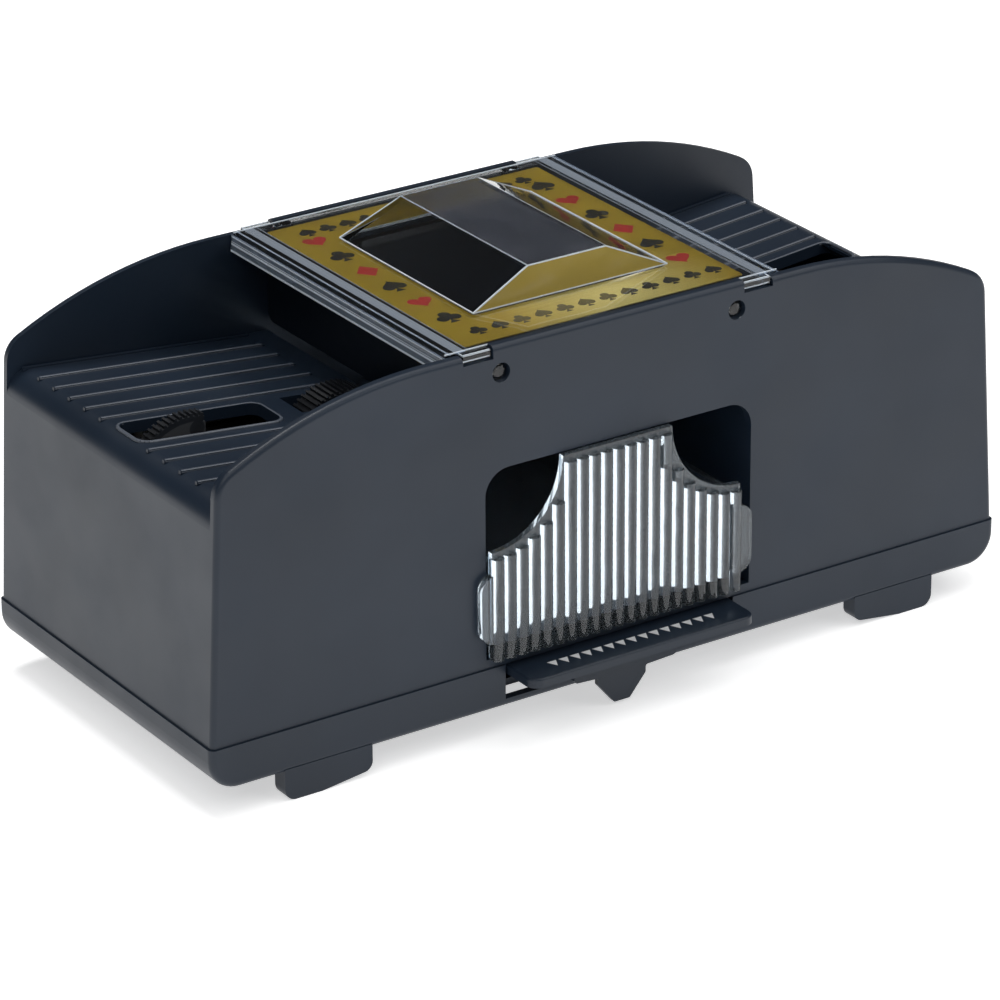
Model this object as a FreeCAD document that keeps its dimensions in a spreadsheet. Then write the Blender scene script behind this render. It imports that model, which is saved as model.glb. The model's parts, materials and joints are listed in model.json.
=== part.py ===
"""Two-deck automatic card shuffler: housing, trays, card drawer, press lever and twin gear trains.

Millimetres, +Z up, front towards -Y.  X runs along the length; the two card trays are mirror images.
All positions below are written for a housing centred on Y = 0; place() then moves every piece by
frame_y, so that the origin ends up under the centre of the whole object's bounding box.
"""
import FreeCAD, Part
import math
import os
import re
import Sketcher

Vector = FreeCAD.Vector
DIMENSIONS = {
    # housing
    "half_length": 111.7, "half_width": 49.0, "wall": 2.5, "end_draft_left": 3.1, "end_draft_right": 3.9,
    "draft_height": 59.9,
    "seam_z": 18.1, "rim_z": 97.5, "plateau_z": 98.5, "plateau_half": 35.1, "arc_half": 52.0,
    "arc_radius": 115.0, "corner_radius": 7.0, "edge_radius": 1.3,
    "tray_edge_left": 6.0, "tray_edge_right": 10.0,
    # trays and card chamber
    "tray_z": 71.09, "tray_ref": 45.0, "tray_slope": 5.55, "chamber_half": 37.6, "sill_half": 43.5,
    "partition": 2.0, "rib_end_left": 104.9, "rib_end_right": 99.6, "rib_pitch": 7.22,
    "rib_height": 0.4, "rib_width": 0.9,
    "tray_line_y": -1.5, "slot_in": 66.0, "slot_out_left": 103.4, "slot_out_right": 99.2,
    "slot_half": 6.0, "throat_slot": 59.0,
    # front window, notches for the cover's tabs, stud holes
    "window_low": 20.4, "window_high": 68.0, "window_radius": 6.5, "notch_out": 43.3, "notch_z": 95.5,
    "stud_x": 33.0, "stud_z": 91.75, "stud_radius": 2.3, "hole_radius": 2.4,
    # base
    "base_z": 7.2, "base_lip": 0.5, "base_wall": 2.2, "base_corner": 7.5, "panel_low": 10.4,
    "panel_high": 12.2, "foot_in": 69.4, "foot_out": 93.0, "foot_depth": 4.5, "foot_flat": 83.0,
    "foot_rise": 1.7, "slot_reach": 32.6, "strip_z": 9.3,
    # lever
    "lever_half": 32.0, "lever_reach": 60.0, "lever_top": 17.8, "lever_thick": 2.3, "lever_radius": 3.0,
    "lever_back": 30.0, "pivot_y": -25.0, "pivot_z": 15.0, "pivot_radius": 1.5, "web_half": 14.6,
    "web_front": -51.6, "web_back": -50.1, "foot_low": 1.1, "foot_x": -1.0,
    # clear cover, label and chamber frame
    "cover_top": 98.0, "cover_thick": 1.8, "cover_half": 46.7, "cover_side": 46.1, "tab_y": 48.0,
    "lip_low": 93.1,
    "tent_x": 27.3, "tent_y": 28.8, "tent_top_x": 11.0, "tent_top_y": 27.0, "tent_z": 105.8,
    "label_x": 39.2, "label_y": 43.2, "label_thick": 0.25, "frame_top": 94.2, "frame_thick": 1.8,
    "view_x": 23.0, "view_y": 29.5, "gate_low": 73.4,
    # drawer
    "drawer_half": 34.6, "drawer_low": 20.7, "drawer_floor": 3.4, "drawer_back": 44.0,
    "drawer_side": 46.0, "drawer_wall": 1.7, "front_half": 35.2, "front_top": 67.6,
    "front_step": 48.0, "front_plateau": 15.4, "front_back": -48.8, "front_thick": 1.6,
    "drawer_rib": 1.66, "drawer_pitch": 3.37, "ear_half": 38.4, "ear_low": 25.0, "ear_high": 42.4,
    "drawer_x": -1.6,
    # gear trains, rollers and motors
    "kicker_x_left": 91.0, "kicker_x_right": 87.0, "kicker_z": 64.6, "roller_x": 47.0, "axle_z": 62.3, "axle_radius": 2.0, "running": 0.05,
    "kicker_radius": 16.0, "kicker_flat": 4.5, "tyre": 2.0, "kicker_front": -7.2, "kicker_wide": 3.4,
    "roller_radius": 12.4, "roller_wide": 7.4, "roller_y": 0.5, "plate_front": 12.0,
    "plate_rear": 26.6, "plate_thick": 2.0, "drive_y": 15.2, "drive_wide": 4.0, "input_y": 20.6,
    "input_wide": 3.0, "drive_module": 0.8, "input_module": 0.5, "stud_offset": 8.0,
    "motor_long": 24.0, "motor_radius": 10.0, "motor_flat": 7.7, "shaft_radius": 1.0,
    # batteries and their doors
    "cell_radius": 7.1, "cell_long": 50.5, "box_in": 50.2, "box_out": 106.5, "box_front": -46.3,
    "box_back": -14.8, "box_top": 26.8, "box_wall": 1.2, "door_in": 51.0, "door_out": 102.4,
    "door_front": -46.9, "door_back": -15.1, "door_low": 8.3, "door_high": 10.1,
    "plate_top": 66.5, "front_plate_y": -13.4, "screw_head": 11.6,
    # where the housing's centre lies in the part's own frame
    "frame_y": 5.25,
}
# screw columns: x, y and top of the column in the upper housing
SCREWS = {"left_back": ("-64", "43", 36), "right_back": ("64", "43", 36),
          "left_front": ("-43", "-8", 46), "right_front": ("43", "-8", 46)}
SPACERS = ((44.0, 40.0), (98.0, 46.0), (97.0, 24.0), (45.0, 23.5))
HANGERS = (56, 97)
AXLE_LONG = "plate_rear + plate_thick + 1.4 - front_plate_y"
BORE = "axle_radius + running"
TEETH = {"kicker": 22, "drive": 44, "roller": 13, "small": 12, "big": 48, "pinion": 12}
PRESSURE = math.radians(25)
SIDES = {"left": -1, "right": 1}

doc = FreeCAD.newDocument("CardShuffler")
sheet = doc.addObject("Spreadsheet::Sheet", "Sheet")
for row, (alias, size) in enumerate(DIMENSIONS.items(), start=1):
    sheet.set(f"A{row}", alias)
    sheet.set(f"B{row}", str(size))
    sheet.setAlias(f"B{row}", alias)
doc.recompute()
nodes = []


def linked(text):
    """Turn a formula of plain dimension names into an expression on the sheet."""
    return re.sub(r"[a-z_]+", lambda word: "Sheet." + word.group() if word.group() in DIMENSIONS
                  else word.group(), text)


def size(text):
    """The present value of such a formula."""
    return float(sheet.evalExpression(linked(text)))


def tray_floor(x):
    """Height of the sloping tray floor at a distance x from the middle."""
    return size("tray_z") + (abs(x) - size("tray_ref")) * math.tan(math.radians(size("tray_slope")))


def end_face(z, side):
    """Half-length of the drafted housing at height z; the right end leans in a little more."""
    draft = size("end_draft_left" if side < 0 else "end_draft_right")
    return size("half_length") - (z - size("seam_z")) * draft / size("draft_height")


def node(piece, label, x="0", y="0", z="0"):
    """Register a finished piece under its own name and put it in the part's frame."""
    piece.Label = label
    piece.setExpression("Placement.Base.x", linked(x))
    piece.setExpression("Placement.Base.y", linked(f"{y} + frame_y"))
    piece.setExpression("Placement.Base.z", linked(z))
    nodes.append(piece)
    return piece


def new_body(name):
    body = doc.addObject("PartDesign::Body", name)
    return body


def new_sketch(body, name, role="XZ_Plane", level="0"):
    """A sketch on one of the body's own planes, level millimetres along +Y, +Z or +X."""
    sketch = body.newObject("Sketcher::SketchObject", name)
    plane = next(item for item in body.Origin.OriginFeatures if item.Role == role)
    sketch.AttachmentSupport = [(plane, "")]
    sketch.MapMode = "FlatFace"
    sign = "-1" if role == "XZ_Plane" else "1"
    sketch.setExpression("AttachmentOffset.Base.z", linked(f"{sign} * ({level})"))
    return sketch


def rectangle(sketch, left, right, low, high):
    """A rectangle whose four sides follow four formulas."""
    x0, x1, y0, y1 = size(left), size(right), size(low), size(high)
    corners = [Vector(x0, y0), Vector(x1, y0), Vector(x1, y1), Vector(x0, y1)]
    first = sketch.GeometryCount
    sketch.addGeometry([Part.LineSegment(corners[i], corners[(i + 1) % 4]) for i in range(4)], False)
    for i in range(4):
        sketch.addConstraint(Sketcher.Constraint("Coincident", first + i, 2, first + (i + 1) % 4, 1))
        sketch.addConstraint(Sketcher.Constraint(("Horizontal", "Vertical")[i % 2], first + i))
    for kind, corner, text in (("DistanceX", 0, left), ("DistanceX", 2, right),
                               ("DistanceY", 0, low), ("DistanceY", 2, high)):
        rule = Sketcher.Constraint(kind, -1, 1, first + corner, 1, size(text))
        sketch.setExpression(f"Constraints[{sketch.addConstraint(rule)}]", linked(text))


def circle(sketch, x, y, radius):
    """A circle whose centre and radius follow formulas."""
    first = sketch.GeometryCount
    centre = Vector(size(x), size(y))
    sketch.addGeometry(Part.Circle(centre, Vector(0, 0, 1), size(radius)), False)
    for rule, text in ((Sketcher.Constraint("DistanceX", -1, 1, first, 3, size(x)), x),
                       (Sketcher.Constraint("DistanceY", -1, 1, first, 3, size(y)), y),
                       (Sketcher.Constraint("Radius", first, size(radius)), radius)):
        sketch.setExpression(f"Constraints[{sketch.addConstraint(rule)}]", linked(text))


def outline(sketch, corners):
    """A closed outline of (x, y) or (x, y, radius) corners; a radius rounds its corner off."""
    starts, ends, arcs = [], [], []
    count = len(corners)
    for i, corner in enumerate(corners):
        point = Vector(corner[0], corner[1])
        if len(corner) < 3:
            starts.append(point)
            ends.append(point)
            arcs.append(None)
            continue
        back = (Vector(*corners[i - 1][:2]) - point).normalize()
        ahead = (Vector(*corners[(i + 1) % count][:2]) - point).normalize()
        half = back.getAngle(ahead) / 2
        bisector = (back + ahead).normalize()
        run = corner[2] / math.tan(half)
        middle = point + bisector * (corner[2] / math.sin(half) - corner[2])
        starts.append(point + back * run)
        ends.append(point + ahead * run)
        arcs.append(middle)
    pieces = []
    for i in range(count):
        if arcs[i]:
            pieces.append(Part.Arc(starts[i], arcs[i], ends[i]))
        following = starts[(i + 1) % count]
        if ends[i].distanceToPoint(following) > 1e-6:
            pieces.append(Part.LineSegment(ends[i], following))
    sketch.addGeometry(pieces, False)


def extrude(body, kind, sketch, length, taper=None):
    """Pad or pocket a sketch by equal amounts to both sides of its plane."""
    feature = body.newObject("PartDesign::" + kind, sketch.Name + "_" + kind.lower())
    feature.Profile = (sketch, [""])
    feature.SideType = "Symmetric"
    feature.setExpression("Length", linked(length))
    if taper:
        feature.TaperAngle = taper
    return feature


def slab(body, name, role, level, length, draw, kind="Pad"):
    """One sketch and its pad or pocket, centred on level."""
    sketch = new_sketch(body, name, role, level)
    draw(sketch)
    return extrude(body, kind, sketch, length)


def round_edges(body, name, radius, wanted):
    """Fillet every edge of the body's present shape that wanted(edge) accepts."""
    doc.recompute()
    base = body.Tip
    names = [f"Edge{i}" for i, edge in enumerate(base.Shape.Edges, start=1) if wanted(edge)]
    fillet = body.newObject("PartDesign::Fillet", name)
    fillet.Base = (base, names)
    fillet.setExpression("Radius", linked(radius))
    return fillet


def along(edge, axis):
    """True for a straight edge that runs along an axis."""
    start, end = edge.Vertexes[0].Point, edge.Vertexes[-1].Point
    return (end - start).normalize().dot(axis) ** 2 > 0.99 if start != end else False


def near(number, other, gap=0.2):
    return abs(number - other) < gap


# ---------------------------------------------------------------- upper housing
def side_profile():
    """Outline of the long walls: drafted ends, sweeping arcs and a raised middle."""
    arc_x, radius = size("arc_half"), size("arc_radius")
    centre_z = size("rim_z") - radius
    pieces = []
    for side in (-1, 1):
        z = size("rim_z")
        for _ in range(30):
            z = centre_z + math.sqrt(radius ** 2 - (end_face(z, side) - arc_x) ** 2)
        corner_x = end_face(z, side)
        middle_x = (arc_x + corner_x) / 2
        middle_z = centre_z + math.sqrt(radius ** 2 - (middle_x - arc_x) ** 2)
        seam = Vector(side * size("half_length"), size("seam_z"))
        corner = Vector(side * corner_x, z)
        rim = Vector(side * arc_x, size("rim_z"))
        notch = Vector(side * size("notch_out"), size("rim_z"))
        plateau = Vector(side * size("plateau_half"), size("plateau_z"))
        pieces.append(Part.LineSegment(seam, corner))
        pieces.append(Part.Arc(corner, Vector(side * middle_x, middle_z), rim))
        pieces.append(Part.LineSegment(rim, notch))
        pieces.append(Part.LineSegment(notch, plateau))
    left, right = Vector(-size("half_length"), size("seam_z")), Vector(size("half_length"), size("seam_z"))
    pieces.append(Part.LineSegment(left, right))
    pieces.append(Part.LineSegment(Vector(-size("plateau_half"), size("plateau_z")),
                                   Vector(size("plateau_half"), size("plateau_z"))))
    return pieces


def tray_cut(side):
    """The space above one tray floor, from beyond the end wall to the chamber's middle."""
    outer = side * (size("half_length") + 15)
    slope_end = side * size("sill_half")
    inner = side * size("chamber_half")
    top = size("plateau_z") + 15
    return [(outer, tray_floor(outer)), (slope_end, tray_floor(slope_end)), (inner, tray_floor(slope_end)),
            (inner, top), (outer, top)]


def mechanism_cut(side):
    """The space for the gear train below one tray floor."""
    wall, below = size("wall"), size("seam_z") - 5
    inner = side * (size("chamber_half") + size("partition"))
    slope_end = side * size("sill_half")
    outer_z = tray_floor(size("half_length")) - 2 * wall
    outer = side * (end_face(outer_z, side) - wall)
    return [(inner, below), (inner, tray_floor(slope_end) - wall), (slope_end, tray_floor(slope_end) - wall),
            (outer, tray_floor(outer) - wall, 3 if side < 0 else 8),
            (side * (end_face(below, side) - wall), below)]


def tray_sketch(body, name, side):
    """A sketch on the sloping tray floor: x is the level distance from the middle."""
    sketch = new_sketch(body, name, "XY_Plane")
    angle = math.radians(-side * size("tray_slope"))
    sketch.setExpression("AttachmentOffset.Base.z", None)
    sketch.AttachmentOffset = FreeCAD.Placement(Vector(side * size("tray_ref"), 0, size("tray_z")),
                                                FreeCAD.Rotation(Vector(0, 1, 0), math.degrees(angle)))
    return sketch


def on_slope(side, x):
    """Place along the tray sketch of a point that lies x from the housing's middle."""
    return side * (x - size("tray_ref")) / math.cos(math.radians(size("tray_slope")))


def plain_box(sketch, x0, x1, y0, y1, radius=None):
    corners = [(x0, y0), (x1, y0), (x1, y1), (x0, y1)]
    if radius:
        corners = [corner + (radius,) for corner in corners]
    outline(sketch, corners)


def add_tray_details(body, side, name):
    """Raised card ribs, the raised rim of the kicker slot, and the two slots."""
    width, pitch, line_y = size("rib_width"), size("rib_pitch"), size("tray_line_y")
    slot_half, slot_in, slot_out = size("slot_half"), size("slot_in"), size("slot_out_" + name)
    rib_in, rib_out = on_slope(side, size("sill_half")), on_slope(side, size("rib_end_" + name))
    ribs = tray_sketch(body, name + "_ribs", side)
    for step in (1.5, 2.5, 3.5, 4.5, 5.5, 6.5):
        for way in (-1, 1):
            y = line_y + way * step * pitch
            if abs(y) < size("half_width - wall - 1"):
                plain_box(ribs, rib_in, rib_out, y - width / 2, y + width / 2)
    extrude(body, "Pad", ribs, "2 * rib_height")
    rim = tray_sketch(body, name + "_slot_rim", side)
    inner, outer = on_slope(side, slot_in), on_slope(side, slot_out)
    plain_box(rim, inner - side, outer, line_y - slot_half, line_y + slot_half + 1, 3)
    extrude(body, "Pad", rim, "2 * rib_height")
    slots = tray_sketch(body, name + "_slots", side)
    plain_box(slots, inner, outer, line_y - slot_half, line_y + slot_half, 2.5)
    extrude(body, "Pocket", slots, "16")
    slab(body, name + "_kicker_well", "XZ_Plane", "tray_line_y", "2 * slot_half",
         lambda sketch: circle(sketch, f"{side} * kicker_x_{name}", "kicker_z", "kicker_radius + 0.3"),
         "Pocket")
    throat = new_sketch(body, name + "_throat", "XY_Plane", "axle_z")
    half, middle = size("roller_wide") / 2 + 1.5, size("roller_y")
    inner, outer = side * (size("chamber_half") - 2), side * size("throat_slot")
    plain_box(throat, inner, outer, middle - half, middle + half)
    extrude(body, "Pocket", throat, "2 * (tray_z - axle_z) + 8")


def make_upper_housing():
    body = new_body("upper_housing")
    shell = new_sketch(body, "shell")
    shell.addGeometry(side_profile(), False)
    extrude(body, "Pad", shell, "2 * half_width")
    across, up = Vector(0, 1, 0), Vector(0, 0, 1)
    round_edges(body, "tray_wall_corners", "corner_radius",
                lambda edge: along(edge, across) and abs(edge.Vertexes[0].Z - 83) < 3)
    round_edges(body, "rims", "edge_radius",
                lambda edge: near(abs(edge.CenterOfMass.y), size("half_width"))
                and edge.CenterOfMass.z > size("seam_z") + 1)
    for side_name, side in SIDES.items():
        slab(body, side_name + "_tray", "XZ_Plane", "0", "2 * (half_width - wall)",
             lambda sketch: outline(sketch, tray_cut(side)), "Pocket")
        slab(body, side_name + "_bay", "XZ_Plane", "0", "2 * (half_width - wall)",
             lambda sketch: outline(sketch, mechanism_cut(side)), "Pocket")
    slab(body, "chamber", "XZ_Plane", "0", "2 * (half_width - wall)",
         lambda sketch: rectangle(sketch, "-chamber_half", "chamber_half", "seam_z - 5", "plateau_z + 5"),
         "Pocket")
    for side_name, side in SIDES.items():
        round_edges(body, side_name + "_tray_edge", "tray_edge_" + side_name,
                    lambda edge: along(edge, across) and near(edge.CenterOfMass.z, 77.3, 0.6)
                    and side * edge.CenterOfMass.x > 105)
    window_radius, half = size("window_radius"), size("chamber_half")
    low, high = size("window_low"), size("window_high")
    slab(body, "window", "XZ_Plane", "-half_width", "4 * wall",
         lambda sketch: outline(sketch, [(-half, low), (half, low), (half, high, window_radius),
                                         (-half, high, window_radius)]), "Pocket")
    for side_name, side in SIDES.items():
        edges = sorted((f"{side} * plateau_half", f"{side} * notch_out"), key=size)
        slab(body, side_name + "_notch", "XZ_Plane", "0", "3 * half_width",
             lambda sketch: rectangle(sketch, edges[0], edges[1], "notch_z", "plateau_z + 5"), "Pocket")
        slab(body, side_name + "_stud_hole", "XZ_Plane", "0", "3 * half_width",
             lambda sketch: circle(sketch, f"{side} * stud_x", "stud_z", "hole_radius"), "Pocket")
        add_tray_details(body, side, side_name)
        centres = train_centres(side_name, side)
        for gear in ("kicker", "drive"):
            tip = TEETH[gear] * size("drive_module") / 2 + size("drive_module")
            slab(body, f"{side_name}_{gear}_gear_well", "XZ_Plane", "drive_y + drive_wide / 2",
                 "drive_wide + 1.2", lambda sketch: circle(sketch, f"{centres[gear].x}", f"{centres[gear].y}",
                                                           f"{tip} + 0.4"), "Pocket")
    add_housing_bosses(body)
    return node(body, "upper_housing")


def add_housing_bosses(body):
    """Screw columns, ledges under the chamber frame and hangers for the gearbox plates."""
    for place, (x, y, top) in SCREWS.items():
        slab(body, place + "_column", "XY_Plane", f"(seam_z + {top}) / 2", f"{top} - seam_z",
             lambda sketch: circle(sketch, x, y, "4"))
        slab(body, place + "_pilot", "XY_Plane", "seam_z + 4", "14",
             lambda sketch: circle(sketch, x, y, "1.4"), "Pocket")
    for way in (-1, 1):
        edges = (f"{way} * (half_width - wall - 2)", f"{way} * (half_width - wall + 0.5)")
        low, high = sorted(edges, key=size)
        slab(body, f"ledge_{'front' if way < 0 else 'back'}", "XY_Plane",
             "frame_top - frame_thick - 0.9", "1.8",
             lambda sketch: rectangle(sketch, "-26", "26", low, high))
    for side_name, side in SIDES.items():
        for x in HANGERS:
            left, right = sorted((side * (x - 2.5), side * (x + 2.5)))
            top = tray_floor(x - 2.5) - 0.8
            for plate in ("plate_front", "plate_rear"):
                slab(body, f"{side_name}_hanger_{x}_{plate}", "XY_Plane", f"(plate_top + {top}) / 2",
                     f"{top} - plate_top",
                     lambda sketch: rectangle(sketch, f"{left}", f"{right}", plate, f"{plate} + plate_thick"))


# ---------------------------------------------------------------- base
def foot_outline(side):
    inner, outer, flat = side * size("foot_in"), side * size("foot_out"), side * size("foot_flat")
    top = size("door_low") - 0.2
    return [(inner, top), (inner, size("foot_rise"), 2.5), (flat, 0), (outer, 0, 3), (outer, top)]


def make_lower_housing():
    body = new_body("lower_housing")
    half = size("half_length") + size("base_lip")
    low, seam, radius = size("base_z"), size("seam_z"), size("base_corner")
    inner = half - size("base_wall")
    slab(body, "base", "XZ_Plane", "0", "2 * (half_width + base_lip)",
         lambda sketch: outline(sketch, [(-half, seam), (-half, low, radius), (half, low, radius),
                                         (half, seam)]))
    round_edges(body, "base_edges", "1.6",
                lambda edge: near(abs(edge.CenterOfMass.y), size("half_width + base_lip"))
                and abs(edge.CenterOfMass.x) > 100)
    inner_radius = radius - size("base_wall")
    inner_low = low + size("base_wall")
    slab(body, "hollow", "XZ_Plane", "0", "2 * (half_width + base_lip - base_wall)",
         lambda sketch: outline(sketch, [(-inner, seam + 5), (-inner, inner_low, inner_radius),
                                         (inner, inner_low, inner_radius), (inner, seam + 5)]), "Pocket")
    slab(body, "underside", "XZ_Plane", "0", "2 * (half_width + base_lip - base_wall)",
         lambda sketch: rectangle(sketch, "-door_out - 0.6", "door_out + 0.6", "base_z - 5", "panel_low"),
         "Pocket")
    reach = inner - 0.8
    slab(body, "panel", "XZ_Plane", "0", "2 * (half_width + base_lip - base_wall) + 1",
         lambda sketch: outline(sketch, [(-reach, size("panel_high")), (-reach, size("panel_low"), 1.6),
                                         (reach, size("panel_low"), 1.6), (reach, size("panel_high"))]))
    for side_name, side in SIDES.items():
        bay = sorted((f"{side} * (box_in + box_wall)", f"{side} * (box_out - box_wall)"), key=size)
        slab(body, side_name + "_battery_bay", "XZ_Plane", "(box_front + box_back) / 2",
             "box_back - box_front - 2 * box_wall",
             lambda sketch: rectangle(sketch, bay[0], bay[1], "panel_low - 1", "panel_high + 1"), "Pocket")
        rail = sorted((f"{side} * 8", f"{side} * (door_out + 0.6)"), key=size)
        slab(body, side_name + "_front_ledge", "XY_Plane", "(base_z + door_low - 0.2) / 2",
             "door_low - 0.2 - base_z",
             lambda sketch: rectangle(sketch, rail[0], rail[1], "-half_width + 1", "door_front + 1.6"))
        slab(body, side_name + "_back_rail", "XY_Plane", "(base_z + panel_low) / 2 + 0.2",
             "panel_low - base_z + 0.4",
             lambda sketch: rectangle(sketch, rail[0], rail[1], "door_back + 0.2", "door_back + 1.6"))
        slab(body, side_name + "_back_ledge", "XY_Plane", "(base_z + door_low - 0.2) / 2",
             "door_low - 0.2 - base_z",
             lambda sketch: rectangle(sketch, rail[0], rail[1], "door_back - 1.4", "door_back + 0.4"))
        for way in (-1, 1):
            slab(body, f"{side_name}_foot_{'front' if way < 0 else 'back'}", "XZ_Plane",
                 f"{way} * (half_width + base_lip - foot_depth / 2)", "foot_depth",
                 lambda sketch: outline(sketch, foot_outline(side)))
        post = sorted((f"{side} * 18", f"{side} * 22"), key=size)
        slab(body, side_name + "_pivot_post", "XY_Plane", "(panel_high + pivot_z + 2) / 2 - 0.2",
             "pivot_z + 2 - panel_high + 0.4",
             lambda sketch: rectangle(sketch, post[0], post[1], "pivot_y - 3", "pivot_y + 3"))
    slab(body, "pivot_bore", "YZ_Plane", "0", "60",
         lambda sketch: circle(sketch, "pivot_y", "pivot_z", "pivot_radius"), "Pocket")
    slab(body, "lever_slot", "XZ_Plane", "-half_width", "2 * base_wall + 2.6",
         lambda sketch: rectangle(sketch, "-slot_reach", "slot_reach", "strip_z", "seam_z + 2"), "Pocket")
    for place, (x, y, _) in SCREWS.items():
        slab(body, place + "_boss", "XY_Plane", "(base_z + seam_z) / 2", "seam_z - base_z",
             lambda sketch: circle(sketch, x, y, "4.2"))
        slab(body, place + "_screw_hole", "XY_Plane", "(base_z + seam_z) / 2", "seam_z - base_z + 2",
             lambda sketch: circle(sketch, x, y, "1.6"), "Pocket")
        slab(body, place + "_counterbore", "XY_Plane", "base_z", "2 * (screw_head - base_z)",
             lambda sketch: circle(sketch, x, y, "3.1"), "Pocket")
    return node(body, "lower_housing")


# ---------------------------------------------------------------- lever
def make_lever():
    body = new_body("press_lever")
    half, reach, radius = size("lever_half"), size("lever_reach"), size("lever_radius")
    back = size("lever_back")
    slab(body, "plate", "XY_Plane", "lever_top - lever_thick / 2", "lever_thick",
         lambda sketch: outline(sketch, [(-half, -back), (-half, -reach, radius), (half, -reach, radius),
                                         (half, -back)]))
    round_edges(body, "plate_edges", "0.5", lambda edge: near(edge.CenterOfMass.z, size("lever_top"), 0.01))
    web, top, foot, foot_x = size("web_half"), size("lever_top") - 1, size("foot_low"), size("foot_x")
    slab(body, "web", "XZ_Plane", "(web_front + web_back) / 2", "web_back - web_front",
         lambda sketch: outline(sketch, [(-web, top), (-web, 8.9, 1), (foot_x - 6.8, 8.5, 0.6),
                                         (foot_x - 6.8, 6.6, 0.8), (foot_x - 2.2, foot, 0.6),
                                         (foot_x + 2.2, foot, 0.6), (foot_x + 6.8, 6.6, 0.8),
                                         (foot_x + 6.8, 8.5, 0.6), (web, 8.9, 1), (web, top)]))
    for side_name, side in SIDES.items():
        lug = sorted((f"{side} * 22.4", f"{side} * 27.6"), key=size)
        slab(body, side_name + "_arm", "XY_Plane", "lever_top - lever_thick / 2", "lever_thick",
             lambda sketch: rectangle(sketch, lug[0], lug[1], "-lever_back - 1", "pivot_y"))
        slab(body, side_name + "_barrel", "YZ_Plane", f"{side} * 25", "5.2",
             lambda sketch: circle(sketch, "pivot_y", "pivot_z", "2.6"))
    slab(body, "pivot_bore_lever", "YZ_Plane", "0", "70",
         lambda sketch: circle(sketch, "pivot_y", "pivot_z", "pivot_radius + running"), "Pocket")
    node(body, "press_lever")
    pin = doc.addObject("Part::Cylinder", "lever_pivot_pin")
    pin.setExpression("Radius", linked("pivot_radius"))
    pin.Height = 58
    pin.Placement.Rotation = FreeCAD.Rotation(Vector(0, 1, 0), 90)
    node(pin, "lever_pivot_pin", "-29", "pivot_y", "pivot_z")


def coil(radius, wire, turns, height):
    """A compression spring with its axis along +Z, starting at the origin."""
    helix = Part.makeHelix((height - 2 * wire) / turns, height - 2 * wire, radius)
    helix.translate(Vector(0, 0, wire))
    section = Part.Wire(Part.Circle(Vector(radius, 0, wire), Vector(0, 1, 0), wire).toShape())
    return Part.Wire(helix.Edges).makePipeShell([section], True, True)


def make_lever_springs():
    """Two return springs between the base panel and the lever."""
    gap = size("lever_top - lever_thick - panel_high")
    springs = [coil(2.1, 0.3, 3, gap) for _ in SIDES]
    for spring, side in zip(springs, SIDES.values()):
        spring.translate(Vector(side * 25, -43.5, size("panel_high")))
    feature = doc.addObject("Part::Feature", "lever_springs")
    feature.Shape = Part.makeCompound(springs)
    node(feature, "lever_springs")


def make_switch():
    """A springy brass leaf over a fixed contact, both standing on the base panel."""
    body = new_body("switch_leaf")
    high = size("panel_high")
    slab(body, "leaf", "XZ_Plane", "-36", "4",
         lambda sketch: outline(sketch, [(-4, high), (-4, high + 0.4), (2, high + 0.4),
                                         (6, high + 2.8), (12, high + 2.8), (12, high + 2.4),
                                         (6.2, high + 2.4), (2.2, high)]))
    node(body, "switch_leaf")
    contact = new_body("switch_contact")
    slab(contact, "pad", "XY_Plane", "panel_high + 0.25", "0.5",
         lambda sketch: rectangle(sketch, "8", "14", "-38", "-34"))
    slab(contact, "button", "XY_Plane", "panel_high + 0.65", "0.5",
         lambda sketch: circle(sketch, "10.5", "-36", "1.2"))
    node(contact, "switch_contact")


# ---------------------------------------------------------------- cover, label and chamber frame
def frustum(body, name, kind, low, high, base, top):
    """A loft between two centred rectangles at heights low and high."""
    sketches = []
    for part_name, level, (half_x, half_y) in (("base", low, base), ("top", high, top)):
        sketch = new_sketch(body, f"{name}_{part_name}", "XY_Plane", level)
        rectangle(sketch, f"-({half_x})", half_x, f"-({half_y})", half_y)
        sketches.append(sketch)
    loft = body.newObject("PartDesign::" + kind, name)
    loft.Profile = (sketches[0], [""])
    loft.Sections = [(sketches[1], [""])]
    loft.Ruled = True
    return loft


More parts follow.
